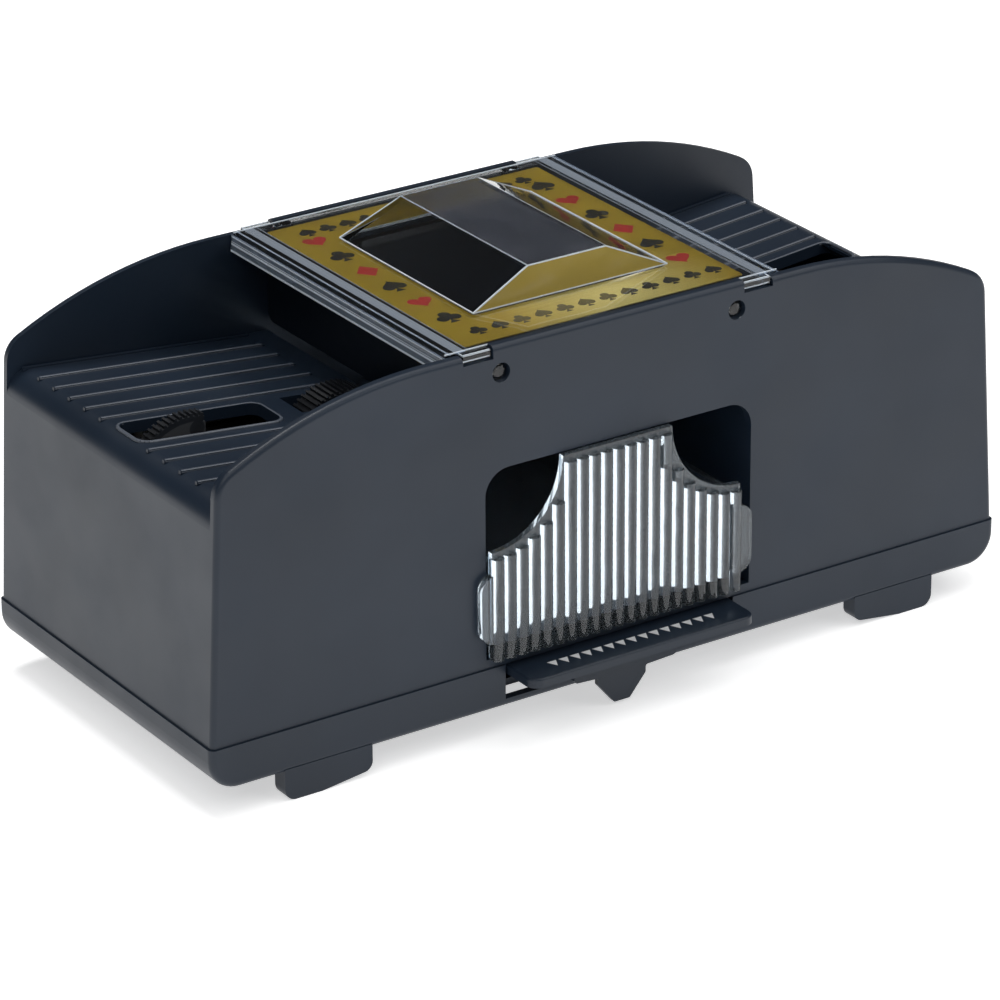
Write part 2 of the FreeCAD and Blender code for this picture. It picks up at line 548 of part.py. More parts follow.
def make_cover():
    body = new_body("clear_cover")
    half, top, thick = size("cover_half"), size("cover_top"), size("cover_thick")
    low = size("lip_low")
    slab(body, "plate_and_lips", "XZ_Plane", "0", "2 * cover_side",
         lambda sketch: outline(sketch, [(-half - 0.6, low, 0.5), (-half, top, 1.8), (half, top, 1.8),
                                         (half + 0.6, low, 0.5), (half - 1.6, low, 0.5),
                                         (half - 2.4, top - thick, 0.8), (-half + 2.4, top - thick, 0.8),
                                         (-half + 1.6, low, 0.5)]))
    frustum(body, "tent", "AdditiveLoft", "cover_top - 0.01", "tent_z", ("tent_x", "tent_y"),
            ("tent_top_x", "tent_top_y"))
    frustum(body, "tent_inside", "SubtractiveLoft", "cover_top - cover_thick - 0.01", "tent_z - 1.3",
            ("tent_x - 1.3", "tent_y - 1.3"), ("tent_top_x - 1", "tent_top_y - 1.2"))
    for side_name, side in SIDES.items():
        tab = sorted((f"{side} * (plateau_half + 0.3)", f"{side} * (notch_out - 0.3)"), key=size)
        tongue = sorted((f"{side} * (stud_x - 2.5)", f"{side} * (stud_x + 2.2)"), key=size)
        for way in (-1, 1):
            end = "front" if way < 0 else "back"
            slab(body, f"{side_name}_{end}_tab", "XZ_Plane", f"{way} * (cover_side + tab_y) / 2",
                 "tab_y - cover_side + 0.8",
                 lambda sketch: rectangle(sketch, tab[0], tab[1], "notch_z + 0.7", "cover_top - 0.2"))
            slab(body, f"{side_name}_{end}_tongue", "XZ_Plane", f"{way} * (cover_side - 0.75)", "1.5",
                 lambda sketch: rectangle(sketch, tongue[0], tongue[1], "stud_z - 2.6", "cover_top - 1"))
            slab(body, f"{side_name}_{end}_stud", "XZ_Plane", f"{way} * (cover_side + 0.9)", "2.4",
                 lambda sketch: circle(sketch, f"{side} * stud_x", "stud_z", "stud_radius"))
    round_edges(body, "stud_domes", "1.2",
                lambda edge: near(edge.Length, 2 * math.pi * size("stud_radius"), 0.1)
                and near(abs(edge.CenterOfMass.y), size("cover_side + 2.1"), 0.05))
    node(body, "clear_cover")


def make_label():
    body = new_body("label_sheet")
    level = "cover_top - cover_thick - label_thick / 2"
    slab(body, "sheet", "XY_Plane", level, "label_thick",
         lambda sketch: rectangle(sketch, "-label_x", "label_x", "-label_y", "label_y"))
    slab(body, "sheet_window", "XY_Plane", level, "4 * label_thick",
         lambda sketch: rectangle(sketch, "-tent_x + 1.2", "tent_x - 1.2", "-tent_y + 1.2", "tent_y - 1.2"),
         "Pocket")
    node(body, "label_sheet")


def make_chamber_frame():
    """The dark frame under the cover, with a gate over each throat."""
    body = new_body("chamber_frame")
    side_y, view_x, view_y = "half_width - wall - 0.4", size("view_x"), size("view_y")
    slab(body, "frame_plate", "XY_Plane", "frame_top - frame_thick / 2", "frame_thick",
         lambda sketch: rectangle(sketch, "-chamber_half + 0.4", "chamber_half - 0.4", f"-({side_y})",
                                  side_y))
    slab(body, "view", "XY_Plane", "frame_top", "4 * frame_thick",
         lambda sketch: plain_box(sketch, -view_x, view_x, -view_y, view_y, 3), "Pocket")
    reach = size(side_y)
    for side_name, side in SIDES.items():
        slab(body, side_name + "_gate", "YZ_Plane", f"{side} * (chamber_half - 1.3)", "1.8",
             lambda sketch: outline(sketch, [(-reach, size("frame_top")), (-reach, size("gate_low"), 2.5),
                                             (reach, size("gate_low"), 2.5), (reach, size("frame_top"))]))
        tongue = sorted((f"{side} * (stud_x - 3)", f"{side} * (stud_x + 2.5)"), key=size)
        for way in (-1, 1):
            end = "front" if way < 0 else "back"
            slab(body, f"{side_name}_{end}_relief", "XZ_Plane", f"{way} * (half_width - wall - 1)", "3",
                 lambda sketch: rectangle(sketch, tongue[0], tongue[1], "frame_top - 4", "frame_top + 1"),
                 "Pocket")
    node(body, "chamber_frame")


def make_bed():
    body = new_body("drawer_bed")
    slab(body, "bed", "XY_Plane", "seam_z + 1.1", "2",
         lambda sketch: rectangle(sketch, "-chamber_half + 0.2", "chamber_half - 0.2",
                                  "-half_width + wall + 0.2", "half_width - wall - 0.2"))
    node(body, "drawer_bed")


# ---------------------------------------------------------------- drawer
def make_drawer():
    body = new_body("card_drawer")
    low, back = "drawer_low", "drawer_back"
    ear_low, ear_high = size("ear_low"), size("ear_high")
    slab(body, "floor", "XY_Plane", "drawer_low + drawer_floor / 2", "drawer_floor",
         lambda sketch: rectangle(sketch, "-drawer_half", "drawer_half", "front_back - 0.5", back))
    for side_name, side in SIDES.items():
        edges = sorted((f"{side} * drawer_half", f"{side} * (drawer_half - drawer_wall)"), key=size)
        slab(body, side_name + "_wall", "YZ_Plane", f"{side} * (drawer_half - drawer_wall / 2)",
             "drawer_wall",
             lambda sketch: outline(sketch, [(size("front_back"), size(low)), (size(back), size(low)),
                                             (size(back), size("drawer_side"), 8),
                                             (size("front_back"), size("drawer_side"))]))
        ear = side * size("ear_half")
        slab(body, side_name + "_ear", "XZ_Plane", "-half_width - 1.1", "1.8",
             lambda sketch: outline(sketch, [(ear, ear_low, 3.6), (ear, ear_high, 3.6),
                                             (side * 33, ear_high), (side * 33, ear_low)]))
    slab(body, "back_wall", "XZ_Plane", "drawer_back - drawer_wall / 2", "drawer_wall",
         lambda sketch: rectangle(sketch, "-drawer_half", "drawer_half", "drawer_low", "drawer_low + 12"))
    front = new_sketch(body, "front")
    front.setExpression("AttachmentOffset.Base.z", linked("-front_back + front_thick / 2"))
    front.addGeometry(front_outline(), False)
    extrude(body, "Pad", front, "front_thick")
    add_front_ribs(body)
    node(body, "card_drawer", "drawer_x")


def shoulder_height(x):
    """Top of the drawer front: a plateau with a concave quarter round down to each shoulder."""
    centre_x, top = size("front_half"), size("front_top")
    radius_x, radius_z = centre_x - size("front_plateau"), top - size("front_step")
    if abs(x) <= size("front_plateau"):
        return top
    share = min(1.0, (centre_x - abs(x)) / radius_x)
    return top - radius_z * math.sqrt(max(0.0, 1 - share ** 2))


def front_outline():
    half, low = size("front_half"), size("drawer_low")
    plateau, top, step = size("front_plateau"), size("front_top"), size("front_step")
    bend = math.sin(math.radians(45))
    pieces = [Part.LineSegment(Vector(-half, low), Vector(half, low)),
              Part.LineSegment(Vector(-plateau, top), Vector(plateau, top))]
    for side in (-1, 1):
        middle = Vector(side * (half - (half - plateau) * bend), top - (top - step) * bend)
        pieces.append(Part.LineSegment(Vector(side * half, low), Vector(side * half, step)))
        pieces.append(Part.Arc(Vector(side * plateau, top), middle, Vector(side * half, step)))
    return pieces


def add_front_ribs(body):
    """Half-round ribs over the whole drawer front, each stopping just below the front's top edge."""
    pitch, low = size("drawer_pitch"), size("drawer_low")
    heights = {}
    for index in range(-10, 11):
        x = index * pitch
        top = min(shoulder_height(x - 1.2), shoulder_height(x + 1.2)) - 1.5
        heights.setdefault(round(top, 3), []).append(x)
    for number, (top, places) in enumerate(sorted(heights.items())):
        sketch = new_sketch(body, f"ribs_{number}", "XY_Plane", f"{(low + top) / 2}")
        for x in places:
            circle(sketch, f"{x}", "front_back - front_thick", "drawer_rib")
        extrude(body, "Pad", sketch, f"{top - low}")


# ---------------------------------------------------------------- gears, rollers and motors
def involute(angle):
    return math.tan(angle) - angle


def gear_outline(teeth, module, phase):
    """Closed outline of an involute gear whose first tooth is centred on the angle phase."""
    pitch_radius = teeth * module / 2
    base_radius = pitch_radius * math.cos(PRESSURE)
    tip, root = pitch_radius + 0.8 * module, pitch_radius - 1.1 * module
    half_tooth = math.pi / (2 * teeth) - 0.05 / pitch_radius
    levels = [base_radius + (tip - base_radius) * share for share in (0.02, 0.35, 0.7, 1.0)]
    flank = [(root, 0.0)] + [(r, involute(math.acos(base_radius / r))) for r in levels]
    corners = []
    for tooth in range(teeth):
        middle = phase + 2 * math.pi * tooth / teeth
        offsets = [(r, -(half_tooth + involute(PRESSURE) - turn)) for r, turn in flank]
        offsets += [(r, -offset) for r, offset in reversed(offsets)]
        corners += [(r * math.cos(middle + a), r * math.sin(middle + a)) for r, a in offsets]
    return corners


def mesh_phase(driver_phase, driver_teeth, teeth, direction):
    """Phase that puts a gear in mesh with a driver; direction is the angle from driver to gear."""
    pitch = 2 * math.pi / driver_teeth
    share = ((direction - driver_phase) / pitch) % 1
    return direction + math.pi - (0.5 - share) * 2 * math.pi / teeth


def toothed(body, name, teeth, module, phase, level, width):
    slab(body, name, "XZ_Plane", f"{level} + {width} / 2", width,
         lambda sketch: outline(sketch, gear_outline(teeth, module, phase)))


def bored(body, name, radius, level, length):
    slab(body, name, "XZ_Plane", level, length, lambda sketch: circle(sketch, "0", "0", radius), "Pocket")


def train_centres(side_name, side):
    """Centres of the train's axes in XZ, from the two roller axles and the tooth counts."""
    module = size("drive_module")
    clearance = 0.06
    kicker = Vector(side * size("kicker_x_" + side_name), size("kicker_z"))
    roller = Vector(side * size("roller_x"), size("axle_z"))
    near_roller = (TEETH["drive"] + TEETH["roller"]) * module / 2 + clearance
    near_kicker = (TEETH["drive"] + TEETH["kicker"]) * module / 2 + clearance
    step = kicker - roller
    apart = step.Length
    share = (near_roller ** 2 - near_kicker ** 2 + apart ** 2) / (2 * apart)
    drop = math.sqrt(near_roller ** 2 - share ** 2)
    ahead = step / apart
    below = Vector(ahead.y, -ahead.x) * side
    drive = roller + ahead * share + below * drop
    reach = (TEETH["drive"] + TEETH["small"]) * module / 2 + clearance
    offset = size("stud_offset")
    idler = Vector(drive.x + side * offset, drive.y - math.sqrt(reach ** 2 - offset ** 2))
    input_reach = (TEETH["big"] + TEETH["pinion"]) * size("input_module") / 2 + clearance
    motor = Vector(idler.x - side * input_reach, idler.y)
    return {"kicker": kicker, "roller": roller, "drive": drive, "idler": idler, "motor": motor}


def train_phases(centres):
    """Rest phases that put every pair of the train in mesh."""
    def direction(start, end):
        step = centres[end] - centres[start]
        return math.atan2(step.y, step.x)
    kicker = math.pi / 2
    drive = mesh_phase(kicker, TEETH["kicker"], TEETH["drive"], direction("kicker", "drive"))
    roller = mesh_phase(drive, TEETH["drive"], TEETH["roller"], direction("drive", "roller"))
    small = mesh_phase(drive, TEETH["drive"], TEETH["small"], direction("drive", "idler"))
    pinion = mesh_phase(small, TEETH["big"], TEETH["pinion"], direction("idler", "motor"))
    return {"kicker": kicker, "drive": drive, "roller": roller, "small": small, "pinion": pinion}


def ribbed_ring(radius, rib, start, end):
    """Corners of a ribbed tread from angle start to end: square ribs a rib's width apart."""
    count = round((end - start) * radius / (2 * rib))
    step = (end - start) / count
    corners = []
    for index in range(count):
        base = start + index * step
        for share, r in ((0, radius - rib), (0.25, radius - rib), (0.3, radius), (0.7, radius),
                         (0.75, radius - rib)):
            corners.append((r * math.cos(base + share * step), r * math.sin(base + share * step)))
    return corners


def band(inner, start, end, steps):
    """Corners just outside a hub of radius inner, from angle end back to start."""
    turn = (start - end) / steps
    reach = inner / math.cos(turn / 2)
    return [(reach * math.cos(end + turn * i), reach * math.sin(end + turn * i)) for i in range(steps + 1)]


def axle(label, centre, level, length, radius="axle_radius"):
    pin = doc.addObject("Part::Cylinder", label)
    pin.setExpression("Radius", linked(radius))
    pin.setExpression("Height", linked(length))
    pin.Placement.Rotation = FreeCAD.Rotation(Vector(1, 0, 0), -90)
    return node(pin, label, f"{centre.x}", level, f"{centre.y}")


def make_kicker(side_name, side, centre, phase):
    """A D-shaped wheel: hub, ribbed tyre held by two beads, and its gear.

    The left wheel rests with its flat towards the middle, the right one with its flat upwards.
    """
    rest_turn = FreeCAD.Rotation(Vector(0, 1, 0), 0 if side < 0 else 90)
    flat, radius = size("kicker_flat"), size("kicker_radius")
    hub_radius = radius - size("tyre")
    toward = -side
    middle, wide = "kicker_front + kicker_wide / 2", "kicker_wide"
    bead_x, bead_z, bead = toward * 2.3, hub_radius - 1.94, 2.0
    hub = new_body(side_name + "_kicker_hub")
    half = math.sqrt(hub_radius ** 2 - flat ** 2)

    def hub_outline(sketch):
        sketch.addGeometry([Part.LineSegment(Vector(toward * flat, -half), Vector(toward * flat, half)),
                            Part.Arc(Vector(toward * flat, half), Vector(-toward * hub_radius, 0),
                                     Vector(toward * flat, -half))], False)
    slab(hub, side_name + "_hub_disc", "XZ_Plane", middle, wide, hub_outline)
    slab(hub, side_name + "_hub_sleeve", "XZ_Plane", "(kicker_front + kicker_wide + 6) / 2",
         "6 - kicker_front - kicker_wide", lambda sketch: circle(sketch, "0", "0", "4"))
    for way in (-1, 1):
        slab(hub, f"{side_name}_bead_{'low' if way < 0 else 'high'}", "XZ_Plane", middle, "2 * kicker_wide",
             lambda sketch: circle(sketch, f"{bead_x}", f"{way * bead_z}", f"{bead}"), "Pocket")
    bored(hub, side_name + "_hub_bore", "axle_radius", "0", "60")
    hub.Placement.Rotation = rest_turn
    node(hub, side_name + "_kicker_hub", f"{centre.x}", "0", f"{centre.y}")
    tyre = new_body(side_name + "_kicker_tyre")
    cut = math.acos(flat / radius)
    start = cut if toward > 0 else math.pi + cut
    end = start + 2 * (math.pi - cut)
    slab(tyre, side_name + "_tread", "XZ_Plane", middle, wide,
         lambda sketch: outline(sketch, ribbed_ring(radius, 0.72, start, end)
                                + band(hub_radius, start, end, 48)))
    for way in (-1, 1):
        slab(tyre, f"{side_name}_tyre_bead_{'low' if way < 0 else 'high'}", "XZ_Plane", middle, wide,
             lambda sketch: circle(sketch, f"{bead_x}", f"{way * bead_z}", f"{bead}"))
    tyre.Placement.Rotation = rest_turn
    node(tyre, side_name + "_kicker_tyre", f"{centre.x}", "0", f"{centre.y}")
    gear = new_body(side_name + "_kicker_gear")
    toothed(gear, side_name + "_kicker_teeth", TEETH["kicker"], size("drive_module"), phase, "drive_y",
            "drive_wide")
    bored(gear, side_name + "_kicker_gear_bore", "axle_radius", "0", "90")
    node(gear, side_name + "_kicker_gear", f"{centre.x}", "0", f"{centre.y}")
    axle(side_name + "_kicker_axle", centre, "front_plate_y - 0.6", AXLE_LONG)


def make_roller(side_name, centre, phase):
    """A ribbed rubber roller on a plastic hub, and its gear."""
    radius, wide = size("roller_radius"), "roller_wide"
    hub = new_body(side_name + "_roller_hub")
    slab(hub, side_name + "_roller_core", "XZ_Plane", "roller_y", wide,
         lambda sketch: circle(sketch, "0", "0", "roller_radius - tyre - 0.7"))
    slab(hub, side_name + "_roller_sleeve", "XZ_Plane", "roller_y", "roller_wide + 3",
         lambda sketch: circle(sketch, "0", "0", "4"))
    bored(hub, side_name + "_roller_bore", "axle_radius", "0", "60")
    node(hub, side_name + "_roller_hub", f"{centre.x}", "0", f"{centre.y}")
    tyre = new_body(side_name + "_roller_tyre")
    slab(tyre, side_name + "_roller_tread", "XZ_Plane", "roller_y", wide,
         lambda sketch: outline(sketch, ribbed_ring(radius, 0.72, 0, 2 * math.pi)))
    bored(tyre, side_name + "_roller_tyre_bore", "roller_radius - tyre - 0.7", "0", "60")
    node(tyre, side_name + "_roller_tyre", f"{centre.x}", "0", f"{centre.y}")
    gear = new_body(side_name + "_roller_gear")
    toothed(gear, side_name + "_roller_teeth", TEETH["roller"], size("drive_module"), phase, "drive_y",
            "drive_wide")
    bored(gear, side_name + "_roller_gear_bore", "axle_radius", "0", "90")
    node(gear, side_name + "_roller_gear", f"{centre.x}", "0", f"{centre.y}")
    axle(side_name + "_roller_axle", centre, "front_plate_y - 0.6", AXLE_LONG)


def make_train(side_name, side, centres, phases):
    drive = new_body(side_name + "_drive_gear")
    centre = centres["drive"]
    toothed(drive, side_name + "_drive_teeth", TEETH["drive"], size("drive_module"), phases["drive"],
            "drive_y", "drive_wide")
    slab(drive, side_name + "_drive_boss", "XZ_Plane", "(plate_front + plate_thick + plate_rear) / 2",
         "plate_rear - plate_front - plate_thick - 0.6", lambda sketch: circle(sketch, "0", "0", "3.6"))
    bored(drive, side_name + "_drive_bore", "1.5 + running", "0", "90")
    node(drive, side_name + "_drive_gear", f"{centre.x}", "0", f"{centre.y}")
    idler = new_body(side_name + "_reduction_gear")
    centre = centres["idler"]
    toothed(idler, side_name + "_small_teeth", TEETH["small"], size("drive_module"), phases["small"],
            "drive_y - 0.4", "input_y - drive_y + 0.6")
    toothed(idler, side_name + "_big_teeth", TEETH["big"], size("input_module"), phases["small"],
            "input_y", "input_wide")
    bored(idler, side_name + "_idler_bore", "1.5 + running", "0", "90")
    node(idler, side_name + "_reduction_gear", f"{centre.x}", "0", f"{centre.y}")
    studs = []
    for name in ("drive", "idler"):
        stud = doc.addObject("Part::Cylinder", f"{side_name}_{name}_stud")
        stud.Radius = 1.5
        stud.setExpression("Height", linked("plate_rear - plate_front - plate_thick"))
        stud.Placement = FreeCAD.Placement(Vector(centres[name].x, 0, centres[name].y),
                                           FreeCAD.Rotation(Vector(1, 0, 0), -90))
        studs.append(stud)
    group = doc.addObject("Part::MultiFuse", side_name + "_gear_studs")
    group.Shapes = studs
    node(group, side_name + "_gear_studs", "0", "plate_front + plate_thick")


def make_motor(side_name, side, centres, phases):
    centre = centres["motor"]
    x, z = f"{centre.x}", f"{centre.y}"
    can = new_body(side_name + "_motor_can")
    radius, flat = size("motor_radius"), size("motor_flat")
    across = math.sqrt(radius ** 2 - flat ** 2)

    def can_outline(sketch):
        sketch.addGeometry([
            Part.LineSegment(Vector(-across, -flat), Vector(across, -flat)),
            Part.Arc(Vector(across, -flat), Vector(radius, 0), Vector(across, flat)),
            Part.LineSegment(Vector(across, flat), Vector(-across, flat)),
            Part.Arc(Vector(-across, flat), Vector(-radius, 0), Vector(-across, -flat))], False)
    slab(can, side_name + "_can", "XZ_Plane", "plate_front - motor_long / 2", "motor_long", can_outline)
    bored(can, side_name + "_can_bore", "shaft_radius + 0.6", "0", "90")
    node(can, side_name + "_motor_can", x, "0", z)
    cap = new_body(side_name + "_motor_cap")
    slab(cap, side_name + "_cap", "XZ_Plane", "plate_front - motor_long - 1", "2",
         lambda sketch: circle(sketch, "0", "0", "motor_flat - 0.4"))
    bored(cap, side_name + "_cap_bore", "shaft_radius + 0.2", "0", "90")
    node(cap, side_name + "_motor_cap", x, "0", z)
    axle(side_name + "_motor_shaft", centre, "plate_front - motor_long - 1.6",
         "input_y + input_wide + motor_long + 2 - plate_front",
         "shaft_radius")
    pinion = new_body(side_name + "_motor_pinion")
    toothed(pinion, side_name + "_pinion_teeth", TEETH["pinion"], size("input_module"), phases["pinion"],
            "input_y - 0.3", "input_wide + 0.6")
    bored(pinion, side_name + "_pinion_bore", "shaft_radius", "0", "90")
    node(pinion, side_name + "_motor_pinion", x, "0", z)


def plate_outline(side):
    x0, x1 = side * 41.0, side * 101.0
    return [(x0, 20, 3), (x1, 20, 3), (x1, size("plate_top"), 3), (x0, size("plate_top"), 3)]


def make_gearbox(side_name, side, centres):
    """Two plates held apart by four screws in spacers, and a bearing plate in front of the rollers."""
    for name in ("plate_front", "plate_rear"):
        body = new_body(f"{side_name}_gear_{name}")
        slab(body, f"{side_name}_{name}_sheet", "XZ_Plane", f"{name} + plate_thick / 2", "plate_thick",
             lambda sketch: outline(sketch, plate_outline(side)))
        for hole in ("kicker", "roller"):
            slab(body, f"{side_name}_{name}_{hole}", "XZ_Plane", name, "20",
                 lambda sketch: circle(sketch, f"{centres[hole].x}", f"{centres[hole].y}", BORE),
                 "Pocket")
        if name == "plate_front":
            slab(body, side_name + "_motor_hole", "XZ_Plane", name, "20",
                 lambda sketch: circle(sketch, f"{centres['motor'].x}", f"{centres['motor'].y}", "3.2"),
                 "Pocket")
        for index, (x, z) in enumerate(SPACERS):
            slab(body, f"{side_name}_{name}_spacer_hole_{index}", "XZ_Plane", name, "20",
                 lambda sketch: circle(sketch, f"{side * x}", f"{z}", "1.3"), "Pocket")
        node(body, f"{side_name}_gear_{name}")
    screws = new_body(side_name + "_gearbox_screws")
    for index, (x, z) in enumerate(SPACERS):
        place = (f"{side * x}", f"{z}")
        for part, level, length, radius in (
                ("shank", "(plate_front - 0.4 + plate_rear + plate_thick) / 2",
                 "plate_rear + plate_thick + 0.4 - plate_front", "1.3"),
                ("head", "plate_rear + plate_thick + 0.9", "1.8", "2.6"),
                ("spacer", "(plate_front + plate_thick + plate_rear) / 2",
                 "plate_rear - plate_front - plate_thick", "2.4")):
            slab(screws, f"{side_name}_{part}_{index}", "XZ_Plane", level, length,
                 lambda sketch: circle(sketch, place[0], place[1], radius))
    node(screws, side_name + "_gearbox_screws")
    bearing = new_body(side_name + "_bearing_plate")
    x0, x1 = side * 41.2, side * 98.0
    slab(bearing, side_name + "_bearing_sheet", "XZ_Plane", "front_plate_y + 1", "2",
         lambda sketch: outline(sketch, [(x0, 57, 3), (x1, 57, 3), (x1, size("plate_top"), 3),
                                         (x0, size("plate_top"), 3)]))
    for hole in ("kicker", "roller"):
        slab(bearing, f"{side_name}_bearing_{hole}", "XZ_Plane", "front_plate_y", "20",
             lambda sketch: circle(sketch, f"{centres[hole].x}", f"{centres[hole].y}", BORE),
             "Pocket")
    node(bearing, side_name + "_bearing_plate")


# ---------------------------------------------------------------- batteries
def make_battery_bay(side_name, side):
    """Box, two cells, their contacts and the sliding door underneath."""
    box = new_body(side_name + "_battery_box")
    edges = sorted((f"{side} * box_in", f"{side} * box_out"), key=size)
    inside = sorted((f"{side} * (box_in + box_wall)", f"{side} * (box_out - box_wall)"), key=size)
    slab(box, side_name + "_box", "XZ_Plane", "(box_front + box_back) / 2", "box_back - box_front",
         lambda sketch: rectangle(sketch, edges[0], edges[1], "panel_high", "box_top"))
    slab(box, side_name + "_box_inside", "XZ_Plane", "(box_front + box_back) / 2",
         "box_back - box_front - 2 * box_wall",
         lambda sketch: rectangle(sketch, inside[0], inside[1], "panel_high - 3", "box_top - box_wall"),
         "Pocket")
    node(box, side_name + "_battery_box")
    cell_z = "box_top - box_wall - 0.3 - cell_radius"
    rows = [f"(box_front + box_back) / 2 {sign} (cell_radius + 0.2)" for sign in "-+"]
    start = f"{side} * (box_out - box_wall - 0.5 - cell_long / 2)"
    cells = new_body(side_name + "_battery_cells")
    contacts = new_body(side_name + "_battery_contacts")
    for index, row in enumerate(rows):
        slab(cells, f"{side_name}_cell_{index}", "YZ_Plane", start, "cell_long",
             lambda sketch: circle(sketch, row, cell_z, "cell_radius"))
        slab(contacts, f"{side_name}_plate_{index}", "YZ_Plane", f"{side} * (box_out - box_wall - 0.25)",
             "0.5",
             lambda sketch: rectangle(sketch, f"{row} - 5", f"{row} + 5", f"{cell_z} - 5", f"{cell_z} + 5"))
        slab(contacts, f"{side_name}_spring_plate_{index}", "YZ_Plane",
             f"{side} * (box_in + box_wall + 0.25)", "0.5",
             lambda sketch: rectangle(sketch, f"{row} - 5", f"{row} + 5", f"{cell_z} - 5", f"{cell_z} + 5"))
        slab(contacts, f"{side_name}_spring_{index}", "YZ_Plane",
             f"{side} * (box_in + box_wall + box_out - box_wall - 0.5 - cell_long + 0.5) / 2",
             "box_out - box_in - 2 * box_wall - 1 - cell_long",
             lambda sketch: (circle(sketch, row, cell_z, "3.4"), circle(sketch, row, cell_z, "2.6")))
    node(cells, side_name + "_battery_cells")
    node(contacts, side_name + "_battery_contacts")
    door = new_body(side_name + "_battery_door")
    span = sorted((f"{side} * door_in", f"{side} * door_out"), key=size)
    slab(door, side_name + "_door", "XY_Plane", "(door_low + door_high) / 2", "door_high - door_low",
         lambda sketch: rectangle(sketch, span[0], span[1], "door_front", "door_back"))
    for index in range(5):
        x = f"{side} * (door_in + 6 + {2.2 * index})"
        slab(door, f"{side_name}_grip_{index}", "XY_Plane", "door_low", "0.8",
             lambda sketch: rectangle(sketch, f"{x} - 0.6", f"{x} + 0.6", "door_front + 8", "door_back - 8"),
             "Pocket")
    node(door, side_name + "_battery_door")


def make_housing_screws():
    screws = new_body("housing_screws")
    for place, (x, y, _) in SCREWS.items():
        slab(screws, place + "_shank", "XY_Plane", "(screw_head + seam_z + 10) / 2",
             "seam_z + 10 - screw_head",
             lambda sketch: circle(sketch, x, y, "1.4"))
        slab(screws, place + "_head", "XY_Plane", "screw_head - 0.9", "1.8",
             lambda sketch: circle(sketch, x, y, "2.7"))
    node(screws, "housing_screws")


def build():
    make_upper_housing()
    make_lower_housing()
    make_lever()
    make_lever_springs()
    make_switch()
    make_cover()
    make_label()
    make_chamber_frame()
    make_bed()
    make_drawer()
    make_housing_screws()
    for side_name, side in SIDES.items():
        centres = train_centres(side_name, side)
        phases = train_phases(centres)
        make_kicker(side_name, side, centres["kicker"], phases["kicker"])
        make_roller(side_name, centres["roller"], phases["roller"])
        make_train(side_name, side, centres, phases)
        make_motor(side_name, side, centres, phases)
        make_gearbox(side_name, side, centres)
        make_battery_bay(side_name, side)


def check_and_export():
    doc.recompute()
    for item in doc.Objects:
        if "Invalid" in item.State or "Error" in item.State:
            raise RuntimeError(f"{item.Name} failed: {item.State}")
    os.makedirs("parts", exist_ok=True)
    for piece in nodes:
        shape = piece.Shape
        if shape.isNull() or not shape.isValid():
            raise RuntimeError(f"{piece.Label} has no valid shape")
        shape.exportStep(f"parts/{piece.Label}.step")
        print(f"{piece.Label}: {len(shape.Solids)} solids, {shape.Volume / 1000:.2f} cm3")


build()
check_and_export()
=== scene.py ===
"""Card shuffler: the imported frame's materials, a printed label, a pale floor, studio light and the camera."""
import bmesh
import bpy
import json
import math
from mathutils import Matrix, Vector


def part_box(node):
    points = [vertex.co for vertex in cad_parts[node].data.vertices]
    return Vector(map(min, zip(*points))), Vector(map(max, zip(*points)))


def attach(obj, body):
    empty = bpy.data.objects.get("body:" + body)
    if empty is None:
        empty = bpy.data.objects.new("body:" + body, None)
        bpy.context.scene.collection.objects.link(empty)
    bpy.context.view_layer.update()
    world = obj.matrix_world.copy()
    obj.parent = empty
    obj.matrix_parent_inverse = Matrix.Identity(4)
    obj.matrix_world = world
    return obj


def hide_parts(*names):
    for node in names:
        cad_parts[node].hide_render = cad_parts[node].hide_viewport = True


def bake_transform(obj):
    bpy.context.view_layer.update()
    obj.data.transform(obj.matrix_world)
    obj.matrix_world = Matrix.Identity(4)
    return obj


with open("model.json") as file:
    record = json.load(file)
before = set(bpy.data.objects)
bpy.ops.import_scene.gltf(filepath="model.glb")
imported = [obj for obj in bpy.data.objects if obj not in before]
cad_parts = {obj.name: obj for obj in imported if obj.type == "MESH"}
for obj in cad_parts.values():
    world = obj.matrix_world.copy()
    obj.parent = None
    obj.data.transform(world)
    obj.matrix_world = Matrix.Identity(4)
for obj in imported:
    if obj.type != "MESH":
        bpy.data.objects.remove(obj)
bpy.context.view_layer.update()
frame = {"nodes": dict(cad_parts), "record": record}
nodes = frame["nodes"]
slots = {part["node"]: part["material_slot"] for part in frame["record"]["subparts"]}

# Lengths are in millimetres, and y is measured from the housing's middle, unless a comment says otherwise.
MM = 0.001
FRAME_Y = 5.25  # the housing's middle lies this far behind the frame's origin
SIDES = (("left", -1), ("right", 1))
SKIN = 0.03  # thickness of the strips and skins of painted light laid on the clear cover

# The label: half sizes of the foil and of its window, and the corner radius of each.
FOIL, WINDOW = (39.1, 43.1, 0.8), (27.0, 28.4, 0.6)
PRINT_DEPTH = 0.06  # the foil's face lies this far under the label's top, to leave room for ink
INK, INK_STEP = 0.02, 0.003  # each further outline of a suit is a step thicker, so that no two faces coincide
PIP_SIZE, SMALL_PIP = 6.6, 0.72  # the suits on the long borders are SMALL_PIP times that size
# The short borders: x of the column, and its suits from back to front.
SHORT_BORDERS = ((-32.3, ("heart", "club", "diamond", "spade", "heart", "club")),
                 (32.8, ("spade", "heart", "club", "diamond", "spade", "heart")))
SHORT_START, SHORT_STEP = 31.5, 11.5
# The long borders: y of the row, its length, and the suits that take turns along it.
LONG_BORDERS = ((-36.4, 66, ("club", "spade")), (37.4, 62, ("spade", "club")))
LONG_START, LONG_PIPS = -31, 12

